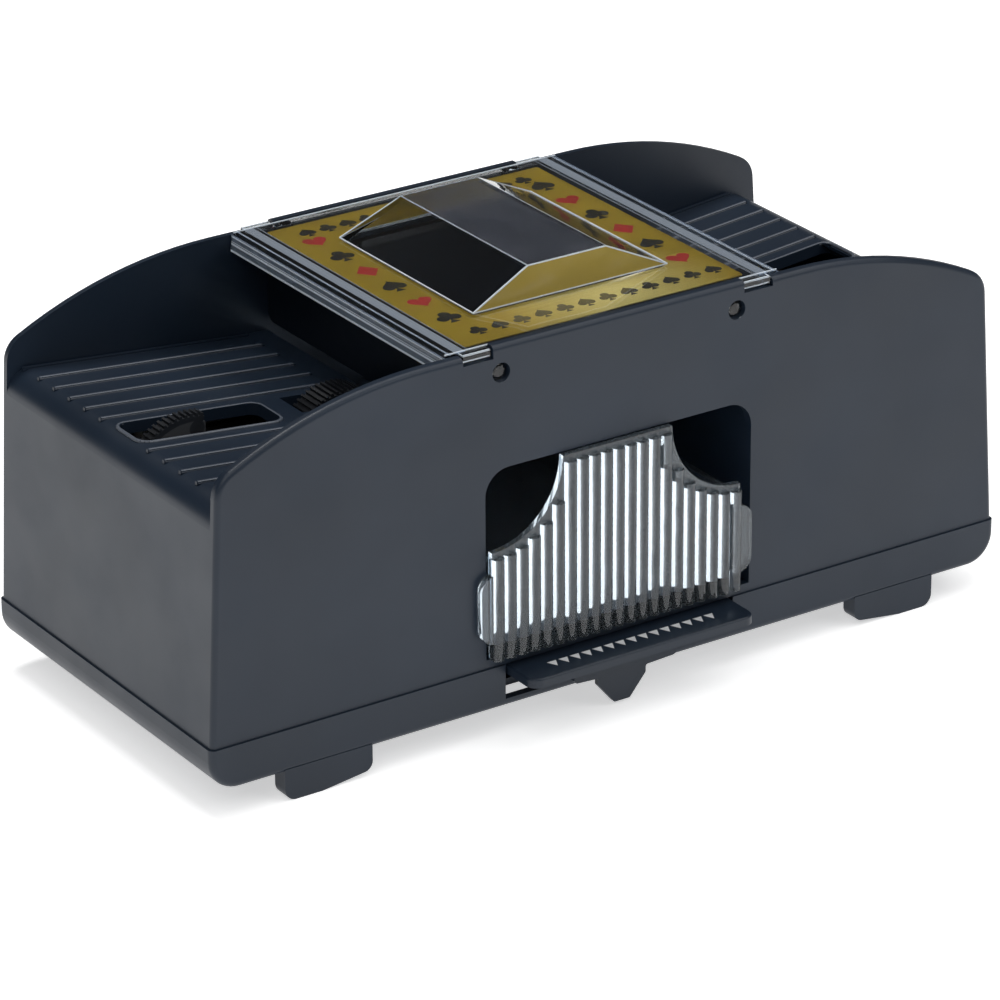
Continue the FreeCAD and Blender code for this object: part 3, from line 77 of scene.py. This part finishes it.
# The clear cover. A lip leans outwards by LIP_DRAFT over LIP_HEIGHT.
COVER_TOP = 98.0
LIP_X, LIP_HEIGHT, LIP_DRAFT = 46.75, 4.9, 0.6
# Painted light on the cover: highlight lines on the lip, sheen strips on the lip and plate, highlight lines on
# the plate's and tabs' edges.
LIP_LINES = ((97.0, 0.35), (95.9, 0.15), (95.2, 0.5), (93.5, 0.5))  # (lowest height, line height)
LIP_SHEEN_X, LIP_SHEEN_LOW, LIP_SHEEN_HIGH = 46.66, 93.6, 97.6
PLATE_STRIPS = ((39.9, 40.15), (41.0, 43.6), (45.0, 45.5))  # (nearest, farthest) from the middle along x
LINE_INSET, STRIP_INSET = 2.5, 1.8  # how far lines and strips stop short of the cover's front and back
PLATE_X, PLATE_Y, PLATE_Z = 46.4, 46.0, 98.02
TAB_IN, TAB_OUT, TAB_ROOT, TAB_Y, TAB_TOP, TAB_LOW = 35.6, 42.8, 46.3, 48.0, 97.7, 96.3
WIDE, MEDIUM, FINE = 0.16, 0.14, 0.12  # half widths of the painted highlight lines on the edges

# The raised tent: corners of its foot and roof, and of the skin on its back end that carries a painted
# reflection.
TENT_FOOT = ((-27.3, -28.8), (27.3, -28.8), (27.3, 28.8), (-27.3, 28.8))
TENT_ROOF = ((-11, -27), (11, -27), (11, 27), (-11, 27))
TENT_FOOT_Z, TENT_ROOF_Z, ROOF_SKIN_Z = 98.05, 105.6, 105.62
TENT_END = ((-26.8, 28.8, 98.2), (26.8, 28.8, 98.2), (11, 27.1, 105.5), (-11, 27.1, 105.5))
END_SKIN = 0.05

# The trays: the floor's lower end and its rise, then where the ribs and the slot's rim end on each side.
TRAY_X, TRAY_Z, TRAY_SLOPE = 45.0, 71.09, math.tan(math.radians(5.55))
TRAY_ENDS = {"left": (104.6, 103.4), "right": (99.3, 99.6)}
RIB_START, RIB_STEP, RIB_LIMIT = 44.2, 7.22, 45.4
SLOT_Y, SLOT_START, SLOT_HALF, SLOT_RADIUS = -1.5, 66.0, 6.5, 3.0
SLOT_CLEAR = 7.0  # no rib runs nearer to the slot's middle line than this
RIM_GAP = 0.5  # the rim's crown runs this far outside the slot's ends
RIB_BEAD, RIM_BEAD, BEAD_RISE = 0.5, 0.45, 0.05

# The lever's marks: how many, where they start and how far apart, and the outline of one.
MARKS, MARK_START, MARK_STEP, MARK_Y = 15, -22.4, 3.2, -54.6
MARK = ((0, -1.5), (1.25, 1.2), (-1.25, 1.2))
MARK_DEPTH = 0.1


# ------------------------------------------------------------------ materials
class Maker:
    """A short way to build one node material. Sizes in materials are in metres, or waves per metre."""

    def __init__(self, name):
        self.material = bpy.data.materials.new(name)
        self.material.use_nodes = True
        self.tree = self.material.node_tree
        self.shader = self.tree.nodes["Principled BSDF"]
        self.place = self.add("ShaderNodeTexCoord").outputs["Object"]

    def add(self, kind, inputs=None, **settings):
        """A new node with its settings, and its inputs linked or set."""
        item = self.tree.nodes.new(kind)
        for key, value in settings.items():
            setattr(item, key, value)
        for key, value in (inputs or {}).items():
            self.feed(item.inputs[key], value)
        return item

    def feed(self, socket, value):
        """Links an output to a socket, or sets a constant on it."""
        if isinstance(value, bpy.types.NodeSocket):
            self.tree.links.new(value, socket)
        else:
            socket.default_value = value

    def set(self, **inputs):
        """Feeds the shader: Base_Color=... stands for its input Base Color."""
        for key, value in inputs.items():
            self.feed(self.shader.inputs[key.replace("_", " ")], value)

    def noise(self, scale, detail=2.0, stretch=(1, 1, 1)):
        mapping = self.add("ShaderNodeMapping", {"Vector": self.place, "Scale": stretch})
        return self.add("ShaderNodeTexNoise", {"Vector": mapping.outputs[0], "Scale": scale,
                                               "Detail": detail}).outputs["Fac"]

    def spread(self, value, low, high, start=0.3, end=0.7):
        """Maps start to end onto low to high."""
        return self.add("ShaderNodeMapRange", {"Value": value, "From Min": start, "From Max": end,
                                               "To Min": low, "To Max": high}).outputs["Result"]

    def shade(self, value, dark, light):
        """A colour between dark and light."""
        ramp = self.add("ShaderNodeValToRGB", {"Fac": value})
        for stop, colour, position in zip(ramp.color_ramp.elements, (dark, light), (0.3, 0.7)):
            stop.color = (*colour, 1)
            stop.position = position
        return ramp.outputs["Color"]

    def bump(self, height, strength, distance):
        return self.add("ShaderNodeBump", {"Height": height, "Strength": strength,
                                           "Distance": distance}).outputs["Normal"]


def scaled(colour, factor):
    return tuple(channel * factor for channel in colour)


def moulded(name, colour, roughness, spread=0.12, shine=0.5):
    """Satin moulded plastic: slow tone changes, fine spark-eroded grain, uneven gloss."""
    m = Maker(name)
    m.set(Base_Color=m.shade(m.noise(28, 3), scaled(colour, 1 - spread), scaled(colour, 1 + spread)))
    m.set(Roughness=m.spread(m.noise(60, 4), roughness - 0.05, roughness + 0.06))
    m.set(Normal=m.bump(m.noise(2600, 2), 0.12, 0.00006), Specular_IOR_Level=shine)
    return m.material


def clear(name, colour=(0.95, 0.975, 0.985), roughness=0.02, waviness=0.05, haze=0.0):
    """Clear moulded plastic with faint flow waves. haze is the share that doesn't let light through."""
    m = Maker(name)
    m.set(Base_Color=m.shade(m.noise(40, 1), scaled(colour, 0.985), colour))
    m.set(Transmission_Weight=1.0 - haze, IOR=1.49)
    m.set(Roughness=m.spread(m.noise(90, 2), roughness * 0.5, roughness * 1.6))
    m.set(Normal=m.bump(m.noise(70, 2), waviness, 0.001))
    return m.material


def metal(name, colour, roughness, stretch=(1, 1, 1)):
    """Metal with fine drawn or turned lines along the axis that stretch leaves short."""
    m = Maker(name)
    lines = m.noise(900, 3, stretch)
    m.set(Base_Color=m.shade(lines, scaled(colour, 0.8), colour), Metallic=1.0)
    m.set(Roughness=m.spread(lines, roughness - 0.08, roughness + 0.1))
    m.set(Normal=m.bump(lines, 0.15, 0.00005))
    return m.material


def rubber(name, colour):
    """Worn rubber: blotches of grey, and a coarse grain."""
    m = Maker(name)
    m.set(Base_Color=m.shade(m.noise(120, 4), colour, scaled(colour, 2.2)))
    m.set(Roughness=m.spread(m.noise(200, 3), 0.32, 0.5))
    m.set(Normal=m.bump(m.noise(3000, 2), 0.3, 0.00008))
    return m.material


def brushed_gold(name):
    """Gold foil: brushed lines along the length, soft sheen, and a painted highlight, a bright patch near the
    front border that stays in place under any light.
    """
    m = Maker(name)
    lines = m.noise(260, 4, (0.12, 9, 1))
    # Painted highlight: the foil turns to the bright gold within a few millimetres of a fixed point near its
    # front border.
    offset = m.add("ShaderNodeVectorMath", {0: m.place, 1: (0.008, -0.03, 0.096)}, operation="DISTANCE")
    painted_highlight_patch = m.spread(offset.outputs["Value"], 1.0, 0.0, 0.003, 0.03)
    dull = m.shade(lines, (0.46, 0.30, 0.012), (0.60, 0.40, 0.02))
    bright = m.shade(lines, (0.90, 0.72, 0.22), (1.0, 0.86, 0.33))
    foil = m.add("ShaderNodeMixRGB", {"Fac": painted_highlight_patch, "Color1": dull, "Color2": bright})
    m.set(Base_Color=foil.outputs["Color"], Metallic=0.2)
    m.set(Roughness=m.spread(m.noise(60, 3), 0.28, 0.4))
    m.set(Normal=m.bump(lines, 0.1, 0.00005))
    return m.material


def printed(name, colour):
    """Printing ink: slightly uneven cover."""
    m = Maker(name)
    m.set(Base_Color=m.shade(m.noise(900, 3), scaled(colour, 0.85), colour))
    m.set(Roughness=m.spread(m.noise(300, 2), 0.34, 0.48))
    return m.material


def battery_sleeve(name):
    """The cells' dark sleeve, a little glossy."""
    m = Maker(name)
    m.set(Base_Color=m.shade(m.noise(30, 3), (0.03, 0.05, 0.09), (0.05, 0.08, 0.13)))
    m.set(Roughness=m.spread(m.noise(300, 2), 0.25, 0.35), Metallic=0.3)
    return m.material


PLASTIC = (0.011, 0.019, 0.033)
SHELL_SHINE = 0.36
materials = {
    "housing": moulded("housing_plastic", PLASTIC, 0.38, shine=SHELL_SHINE),
    "base": moulded("base_plastic", scaled(PLASTIC, 0.95), 0.4, shine=SHELL_SHINE),
    "lever": moulded("lever_plastic", scaled(PLASTIC, 0.9), 0.36, shine=SHELL_SHINE),
    "dark_frame": moulded("frame_plastic", scaled(PLASTIC, 0.45), 0.36),
    "bed": moulded("bed_plastic", scaled(PLASTIC, 0.6), 0.45),
    "gear_plate": moulded("gear_plate_plastic", (0.03, 0.031, 0.033), 0.45),
    "battery_box": moulded("battery_box_plastic", (0.02, 0.021, 0.023), 0.5),
    "hub": moulded("hub_plastic", (0.045, 0.047, 0.05), 0.42),
    "gear": moulded("gear_plastic", (0.72, 0.7, 0.64), 0.4, spread=0.05),
    "rubber": rubber("ribbed_rubber", (0.005, 0.006, 0.008)),
    "clear": clear("cover_clear"),
    "drawer": clear("drawer_clear", (0.80, 0.90, 0.98), 0.03, 0.22, 0.03),
    "label": brushed_gold("label_gold"),
    "steel": metal("axle_steel", (0.55, 0.55, 0.56), 0.25, (1, 8, 1)),
    "screw": metal("screw_zinc", (0.5, 0.5, 0.52), 0.32),
    "spring": metal("spring_wire", (0.6, 0.6, 0.62), 0.25, (1, 1, 12)),
    "motor": metal("motor_steel", (0.5, 0.5, 0.51), 0.35, (1, 6, 1)),
    "contact": metal("contact_nickel", (0.62, 0.61, 0.58), 0.25),
    "brass": metal("turned_brass", (0.7, 0.5, 0.2), 0.28),
    "cell": battery_sleeve("cell_sleeve"),
}
# The beads' plastic is several times lighter than the housing's: a painted highlight on the rib crowns and slot
# rims.
bead_highlight_plastic = moulded("bead_highlight_plastic", (0.095, 0.108, 0.132), 0.26)
red_ink = printed("red_ink", (0.62, 0.02, 0.02))
black_ink = printed("black_ink", (0.012, 0.012, 0.012))
white_ink = printed("white_ink", (0.75, 0.75, 0.75))
# Painted sheen: a faint hazy skin laid on the tent's roof.
painted_faint_sheen = clear("tent_top_painted_sheen", (0.74, 0.78, 0.92), 0.12, 0.3, 0.07)
# Painted sheen: soft hazy strips laid on the cover's plate and lip.
sheen = clear("cover_painted_sheen_clear", (0.74, 0.85, 1.0), 0.15, 0.3, 0.28)
# Painted reflection: a warm hazy skin on the tent's ends stands in for the label's reflection.
painted_reflection_clear = clear("tent_end_painted_reflection_clear", (0.86, 0.66, 0.16), 0.12, 0.4, 0.42)
# Painted highlights: fine pale lines along the cover's and tent's edges, nearly opaque.
painted_highlight_clear = clear("cover_edge_painted_highlight", (0.84, 0.92, 1.0), 0.2, 0.3, 0.85)


def paint_nodes():
    """Every CAD node takes the finish of its slot in the record."""
    for name, item in nodes.items():
        finish = materials[slots[name]]
        if not item.material_slots:
            item.data.materials.append(finish)
        for material_slot in item.material_slots:
            material_slot.material = finish


# ------------------------------------------------------------------ mesh helpers
def new_object(name, bm):
    """Turns a bmesh into an object of the scene."""
    mesh = bpy.data.meshes.new(name)
    bm.to_mesh(mesh)
    bm.free()
    item = bpy.data.objects.new(name, mesh)
    bpy.context.scene.collection.objects.link(item)
    return item


def new_piece(name, bm, material, body="housing"):
    """Turns a bmesh into a shown piece that rides on a body."""
    item = new_object(name, bm)
    item.data.materials.append(material)
    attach(item, body)
    return item


def flat_shape(bm, points, low, high):
    """A thin upright prism over an outline of (x, y) points in the frame, from height low to high."""
    bottom = [bm.verts.new((x * MM, y * MM, low * MM)) for x, y in points]
    top = [bm.verts.new((x * MM, y * MM, high * MM)) for x, y in points]
    bm.faces.new(top)
    bm.faces.new(bottom[::-1])
    for i in range(len(points)):
        j = (i + 1) % len(points)
        bm.faces.new((bottom[i], bottom[j], top[j], top[i]))


def box_outline(x0, x1, y0, y1):
    """The corners of a rectangle in turning order, whichever x is lower."""
    x0, x1 = sorted((x0, x1))
    return [(x0, y0), (x1, y0), (x1, y1), (x0, y1)]


def arc_points(x, y, radius, start, end, steps=16):
    return [(x + radius * math.cos(start + (end - start) * i / steps),
             y + radius * math.sin(start + (end - start) * i / steps)) for i in range(steps + 1)]


def rounded_rectangle(half_x, half_y, radius, steps=8):
    points = []
    for sx, sy, start in ((1, 1, 0), (-1, 1, 90), (-1, -1, 180), (1, -1, 270)):
        points += arc_points(sx * (half_x - radius), sy * (half_y - radius), radius,
                             math.radians(start), math.radians(start + 90), steps)
    return points


def span(start, end):
    """The matrix that lays a shape's Z axis from one housing point to another, and its length in metres."""
    start, end = (Vector((x, y + FRAME_Y, z)) * MM for x, y, z in (start, end))
    run = end - start
    turn = run.to_track_quat("Z", "Y").to_matrix().to_4x4()
    return Matrix.Translation((start + end) / 2) @ turn, run.length


def add_rod(bm, start, end, radius):
    """A thin square rod between two points of the housing."""
    place, length = span(start, end)
    size = Matrix.Diagonal((2 * radius * MM, 2 * radius * MM, length, 1))
    bmesh.ops.create_cube(bm, size=1.0, matrix=place @ size)


def add_bead(bm, start, end, radius):
    """A round rod between two points of the housing."""
    place, length = span(start, end)
    bmesh.ops.create_cone(bm, cap_ends=True, segments=14, radius1=radius * MM, radius2=radius * MM,
                          depth=length, matrix=place)


# ------------------------------------------------------------------ label
def heart():
    points = []
    for i in range(40):
        t = 2 * math.pi * i / 40
        height = 13 * math.cos(t) - 5 * math.cos(2 * t) - 2 * math.cos(3 * t) - math.cos(4 * t)
        points.append((16 * math.sin(t) ** 3 / 34, height / 34))
    return [points[::-1]]


def diamond():
    return [[(0.45, 0), (0, 0.55), (-0.45, 0), (0, -0.55)]]


def stem():
    return [(0.03, -0.1), (0.06, -0.3), (0.2, -0.5), (-0.2, -0.5), (-0.06, -0.3), (-0.03, -0.1)][::-1]


def spade():
    body = [(x, -y + 0.06) for x, y in heart()[0]][::-1]
    return [body, stem()]


def club():
    lobes = [arc_points(x, y, 0.235, 0, 2 * math.pi, 24)[:-1]
             for x, y in ((0, 0.26), (-0.24, -0.06), (0.24, -0.06))]
    return lobes + [[(0.1, 0.1), (-0.1, 0.1), (-0.1, -0.15), (0.1, -0.15)], stem()]


def add_pips(name, pips, height):
    """Printed suit marks, one piece for each ink. pips is a list of (suit, x, y, scale)."""
    red, black = {"heart": heart, "diamond": diamond}, {"spade": spade, "club": club}
    for ink, suits in ((red_ink, red), (black_ink, black)):
        bm = bmesh.new()
        for suit, x, y, scale in [pip for pip in pips if pip[0] in suits]:
            size = PIP_SIZE * scale
            for part, outline in enumerate(suits[suit]()):
                points = [(x + px * size, y + FRAME_Y + py * size) for px, py in outline]
                flat_shape(bm, points, height, height + INK + INK_STEP * part)
        new_piece(f"{name}_{ink.name}", bm, ink)


def make_label():
    """Gold foil sheet with a window, held against the cover's underside, and its printed suits."""
    low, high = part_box("label_sheet")
    top = high.z / MM - PRINT_DEPTH
    outer, inner = rounded_rectangle(*FOIL), rounded_rectangle(*WINDOW)
    bm = bmesh.new()
    rings = [[bm.verts.new((x * MM, (y + FRAME_Y) * MM, level * MM)) for x, y in points]
             for points, level in ((outer, low.z / MM), (outer, top), (inner, top), (inner, low.z / MM))]
    for ring in range(4):
        a, b = rings[ring], rings[(ring + 1) % 4]
        for i in range(len(outer)):
            j = (i + 1) % len(outer)
            bm.faces.new((a[i], a[j], b[j], b[i]))
    bmesh.ops.recalc_face_normals(bm, faces=bm.faces)
    sheet = new_piece("label_foil", bm, materials["label"])
    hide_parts("label_sheet")
    pips = []
    for x, suits in SHORT_BORDERS:
        pips += [(suit, x, SHORT_START - SHORT_STEP * index, 1) for index, suit in enumerate(suits)]
    for y, length, suits in LONG_BORDERS:
        pips += [(suits[index % 2], LONG_START + length * index / (LONG_PIPS - 1), y, SMALL_PIP)
                 for index in range(LONG_PIPS)]
    add_pips("label_print", pips, top)


# ------------------------------------------------------------------ clear cover
def make_cover_bands():
    """Painted light caught in the cover's two ends: fine pale lines of painted highlight on the lip, soft
    strips of painted sheen on plate and lip.
    """
    low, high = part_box("clear_cover")
    line_ends = low.y / MM + LINE_INSET, high.y / MM - LINE_INSET
    strip_ends = low.y / MM + STRIP_INSET, high.y / MM - STRIP_INSET
    for name, side in SIDES:
        bm = bmesh.new()
        for level, height in LIP_LINES:
            reach = LIP_X + (COVER_TOP - level) * LIP_DRAFT / LIP_HEIGHT
            outline = box_outline(side * reach, side * (reach + SKIN), *line_ends)
            flat_shape(bm, outline, level, level + height)
        new_piece(f"{name}_cover_bands", bm, painted_highlight_clear)
        bm = bmesh.new()
        for start, end in PLATE_STRIPS:
            flat_shape(bm, box_outline(side * start, side * end, *strip_ends), COVER_TOP, COVER_TOP + SKIN)
        flat_shape(bm, box_outline(side * LIP_SHEEN_X, side * (LIP_SHEEN_X + SKIN), *strip_ends),
                   LIP_SHEEN_LOW, LIP_SHEEN_HIGH)
        new_piece(f"{name}_cover_sheen", bm, sheen)


def make_edge_lines():
    """Painted highlights: bright lines where light gathers in the edges of the tent, of the plate and of its
    tabs.
    """
    bm = bmesh.new()
    for i in range(4):
        j = (i + 1) % 4
        add_rod(bm, (*TENT_FOOT[i], TENT_FOOT_Z), (*TENT_FOOT[j], TENT_FOOT_Z), WIDE)
        add_rod(bm, (*TENT_ROOF[i], TENT_ROOF_Z), (*TENT_ROOF[j], TENT_ROOF_Z), MEDIUM)
        add_rod(bm, (*TENT_FOOT[i], TENT_FOOT_Z), (*TENT_ROOF[i], TENT_ROOF_Z), WIDE)
    for end in (-1, 1):
        add_rod(bm, (-PLATE_X, end * PLATE_Y, PLATE_Z), (PLATE_X, end * PLATE_Y, PLATE_Z), MEDIUM)
        for x in (-1, 1):
            add_rod(bm, (x * TAB_IN, end * TAB_Y, TAB_TOP), (x * TAB_OUT, end * TAB_Y, TAB_TOP), WIDE)
            add_rod(bm, (x * TAB_IN, end * TAB_Y, TAB_LOW), (x * TAB_OUT, end * TAB_Y, TAB_LOW), FINE)
            add_rod(bm, (x * TAB_OUT, end * TAB_ROOT, TAB_TOP), (x * TAB_OUT, end * TAB_Y, TAB_TOP), MEDIUM)
    new_piece("tent_edge_lines", bm, painted_highlight_clear)


def make_tent_faces():
    """Thin skins of painted light on the tent: a painted cool sheen on its roof, and a painted reflection of
    the label on its two ends.
    """
    bm = bmesh.new()
    flat_shape(bm, [(x, y + FRAME_Y) for x, y in TENT_ROOF], ROOF_SKIN_Z, ROOF_SKIN_Z + SKIN)
    new_piece("tent_top_sheen", bm, painted_faint_sheen)
    bm = bmesh.new()
    for end in (-1, 1):
        outer = [bm.verts.new(Vector((x, end * y + FRAME_Y, z)) * MM) for x, y, z in TENT_END]
        inner = [bm.verts.new(Vector((x, end * (y - END_SKIN) + FRAME_Y, z)) * MM) for x, y, z in TENT_END]
        bm.faces.new(outer)
        bm.faces.new(inner[::-1])
        for i in range(4):
            j = (i + 1) % 4
            bm.faces.new((inner[i], inner[j], outer[j], outer[i]))
    bmesh.ops.recalc_face_normals(bm, faces=bm.faces)
    new_piece("tent_end_painted_reflection", bm, painted_reflection_clear)


# ------------------------------------------------------------------ trays and lever
def slot_rim(end):
    """Outline of a kicker slot's rim as (distance from the middle, y) points."""
    middle, reach = (SLOT_START + end) / 2, (end - SLOT_START) / 2 + RIM_GAP
    return [(middle + x, y + SLOT_Y) for x, y in rounded_rectangle(reach, SLOT_HALF, SLOT_RADIUS, 5)]


def make_tray_beads():
    """Round crowns on the tray ribs and round the rim of each kicker slot, in a lighter plastic that paints a
    highlight on them.
    """
    for name, side in SIDES:
        rib_end, slot_end = TRAY_ENDS[name]

        def on_floor(x, y):
            return side * x, y, TRAY_Z + (x - TRAY_X) * TRAY_SLOPE + BEAD_RISE

        bm = bmesh.new()
        for step in range(-6, 6):
            y = SLOT_Y + (step + 0.5) * RIB_STEP
            if abs(y - SLOT_Y) > SLOT_CLEAR and abs(y) < RIB_LIMIT:
                add_bead(bm, on_floor(RIB_START, y), on_floor(rib_end, y), RIB_BEAD)
        path = [on_floor(x, y) for x, y in slot_rim(slot_end)]
        for start, end in zip(path, path[1:] + path[:1]):
            add_bead(bm, start, end, RIM_BEAD)
        new_piece(f"{name}_tray_beads", bm, bead_highlight_plastic)


def make_lever_marks():
    """White marks along the lever's front: a row of plain triangles."""
    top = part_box("press_lever")[1].z / MM
    bm = bmesh.new()
    for index in range(MARKS):
        points = [(MARK_START + MARK_STEP * index + x, MARK_Y + FRAME_Y + y) for x, y in MARK]
        flat_shape(bm, points, top - MARK_DEPTH, top + SKIN)
    new_piece("lever_marks", bm, white_ink, "lever")


def make_springs():
    """The lever's springs: a copy of the CAD coils, set in the world in place of the hidden node."""
    coils = bpy.data.objects.new("spring_coils", nodes["lever_springs"].data.copy())
    bpy.context.scene.collection.objects.link(coils)
    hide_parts("lever_springs")
    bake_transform(coils)


def soften(name, width):
    """Small moulded edge radii on a CAD node."""
    bevel = nodes[name].modifiers.new("edges", "BEVEL")
    bevel.width = width * MM
    bevel.segments = 2
    bevel.limit_method = "ANGLE"
    bevel.angle_limit = math.radians(30)
    bevel.harden_normals = True
    bevel.use_clamp_overlap = True


# ------------------------------------------------------------------ stage
def make_stage():
    """A white floor that is a little self-lit, 8 m wide, and a dim white world."""
    bm = bmesh.new()
    half = 4.0
    bm.faces.new([bm.verts.new((x, y, 0)) for x, y in box_outline(-half, half, -half, half)])
    floor = new_object("floor", bm)
    m = Maker("floor_white")
    m.set(Base_Color=m.shade(m.noise(3, 2), (0.93, 0.93, 0.93), (0.95, 0.95, 0.95)), Roughness=0.9)
    m.set(Emission_Color=(1, 1, 1, 1), Emission_Strength=0.55)
    floor.data.materials.append(m.material)
    world = bpy.data.worlds.new("studio")
    world.use_nodes = True
    background = world.node_tree.nodes["Background"]
    background.inputs["Color"].default_value = (1, 1, 1, 1)
    background.inputs["Strength"].default_value = 0.05
    bpy.context.scene.world = world


def add_light(name, place, size, power):
    """A soft box at a place in metres, aimed at the object."""
    light = bpy.data.lights.new(name, "AREA")
    light.shape = "RECTANGLE"
    light.size, light.size_y = size
    light.energy = power
    item = bpy.data.objects.new(name, light)
    item.location = place
    item.rotation_euler = (Vector((0, 0, 0.05)) - Vector(place)).to_track_quat("-Z", "Y").to_euler()
    bpy.context.scene.collection.objects.link(item)


def make_camera():
    """The camera looks at the housing's middle from the front left, a little above it."""
    azimuth, elevation, roll = math.radians(-33.563), math.radians(24.321), math.radians(-0.343)
    target = Vector((-1.06, FRAME_Y, 33.63)) * MM
    distance = 1.2573  # metres
    focal_ratio = 5.20985  # focal length over sensor width
    back = Vector((math.sin(azimuth) * math.cos(elevation), -math.cos(azimuth) * math.cos(elevation),
                   math.sin(elevation)))
    data = bpy.data.cameras.new("camera")
    data.sensor_width = 36
    data.lens = data.sensor_width * focal_ratio
    data.clip_start, data.clip_end = 0.05, 20
    camera = bpy.data.objects.new("camera", data)
    facing = (-back).to_track_quat("-Z", "Y").to_matrix().to_4x4()
    place = Matrix.Translation(target + back * distance)
    camera.matrix_world = place @ facing @ Matrix.Rotation(roll, 4, "Z")
    bpy.context.scene.collection.objects.link(camera)
    bpy.context.scene.camera = camera


# ------------------------------------------------------------------ the scene
paint_nodes()
for edge_name in ("lower_housing", "press_lever", "chamber_frame"):
    soften(edge_name, 0.35)
soften("upper_housing", 0.14)
soften("clear_cover", 0.3)
soften("card_drawer", 0.4)
make_label()
make_cover_bands()
make_edge_lines()
make_tent_faces()
make_tray_beads()
make_lever_marks()
make_springs()
make_stage()
add_light("key", (-1.0, -0.8, 1.7), (1.8, 1.8), 15)
add_light("fill", (1.1, -1.5, 1.3), (1.4, 1.2), 10)
add_light("top", (0.8, -0.1, 1.7), (1.5, 1.5), 13)
add_light("back", (-0.15, 0.6, 1.9), (0.6, 0.5), 14)
make_camera()
bpy.context.scene.view_settings.view_transform = "Standard"
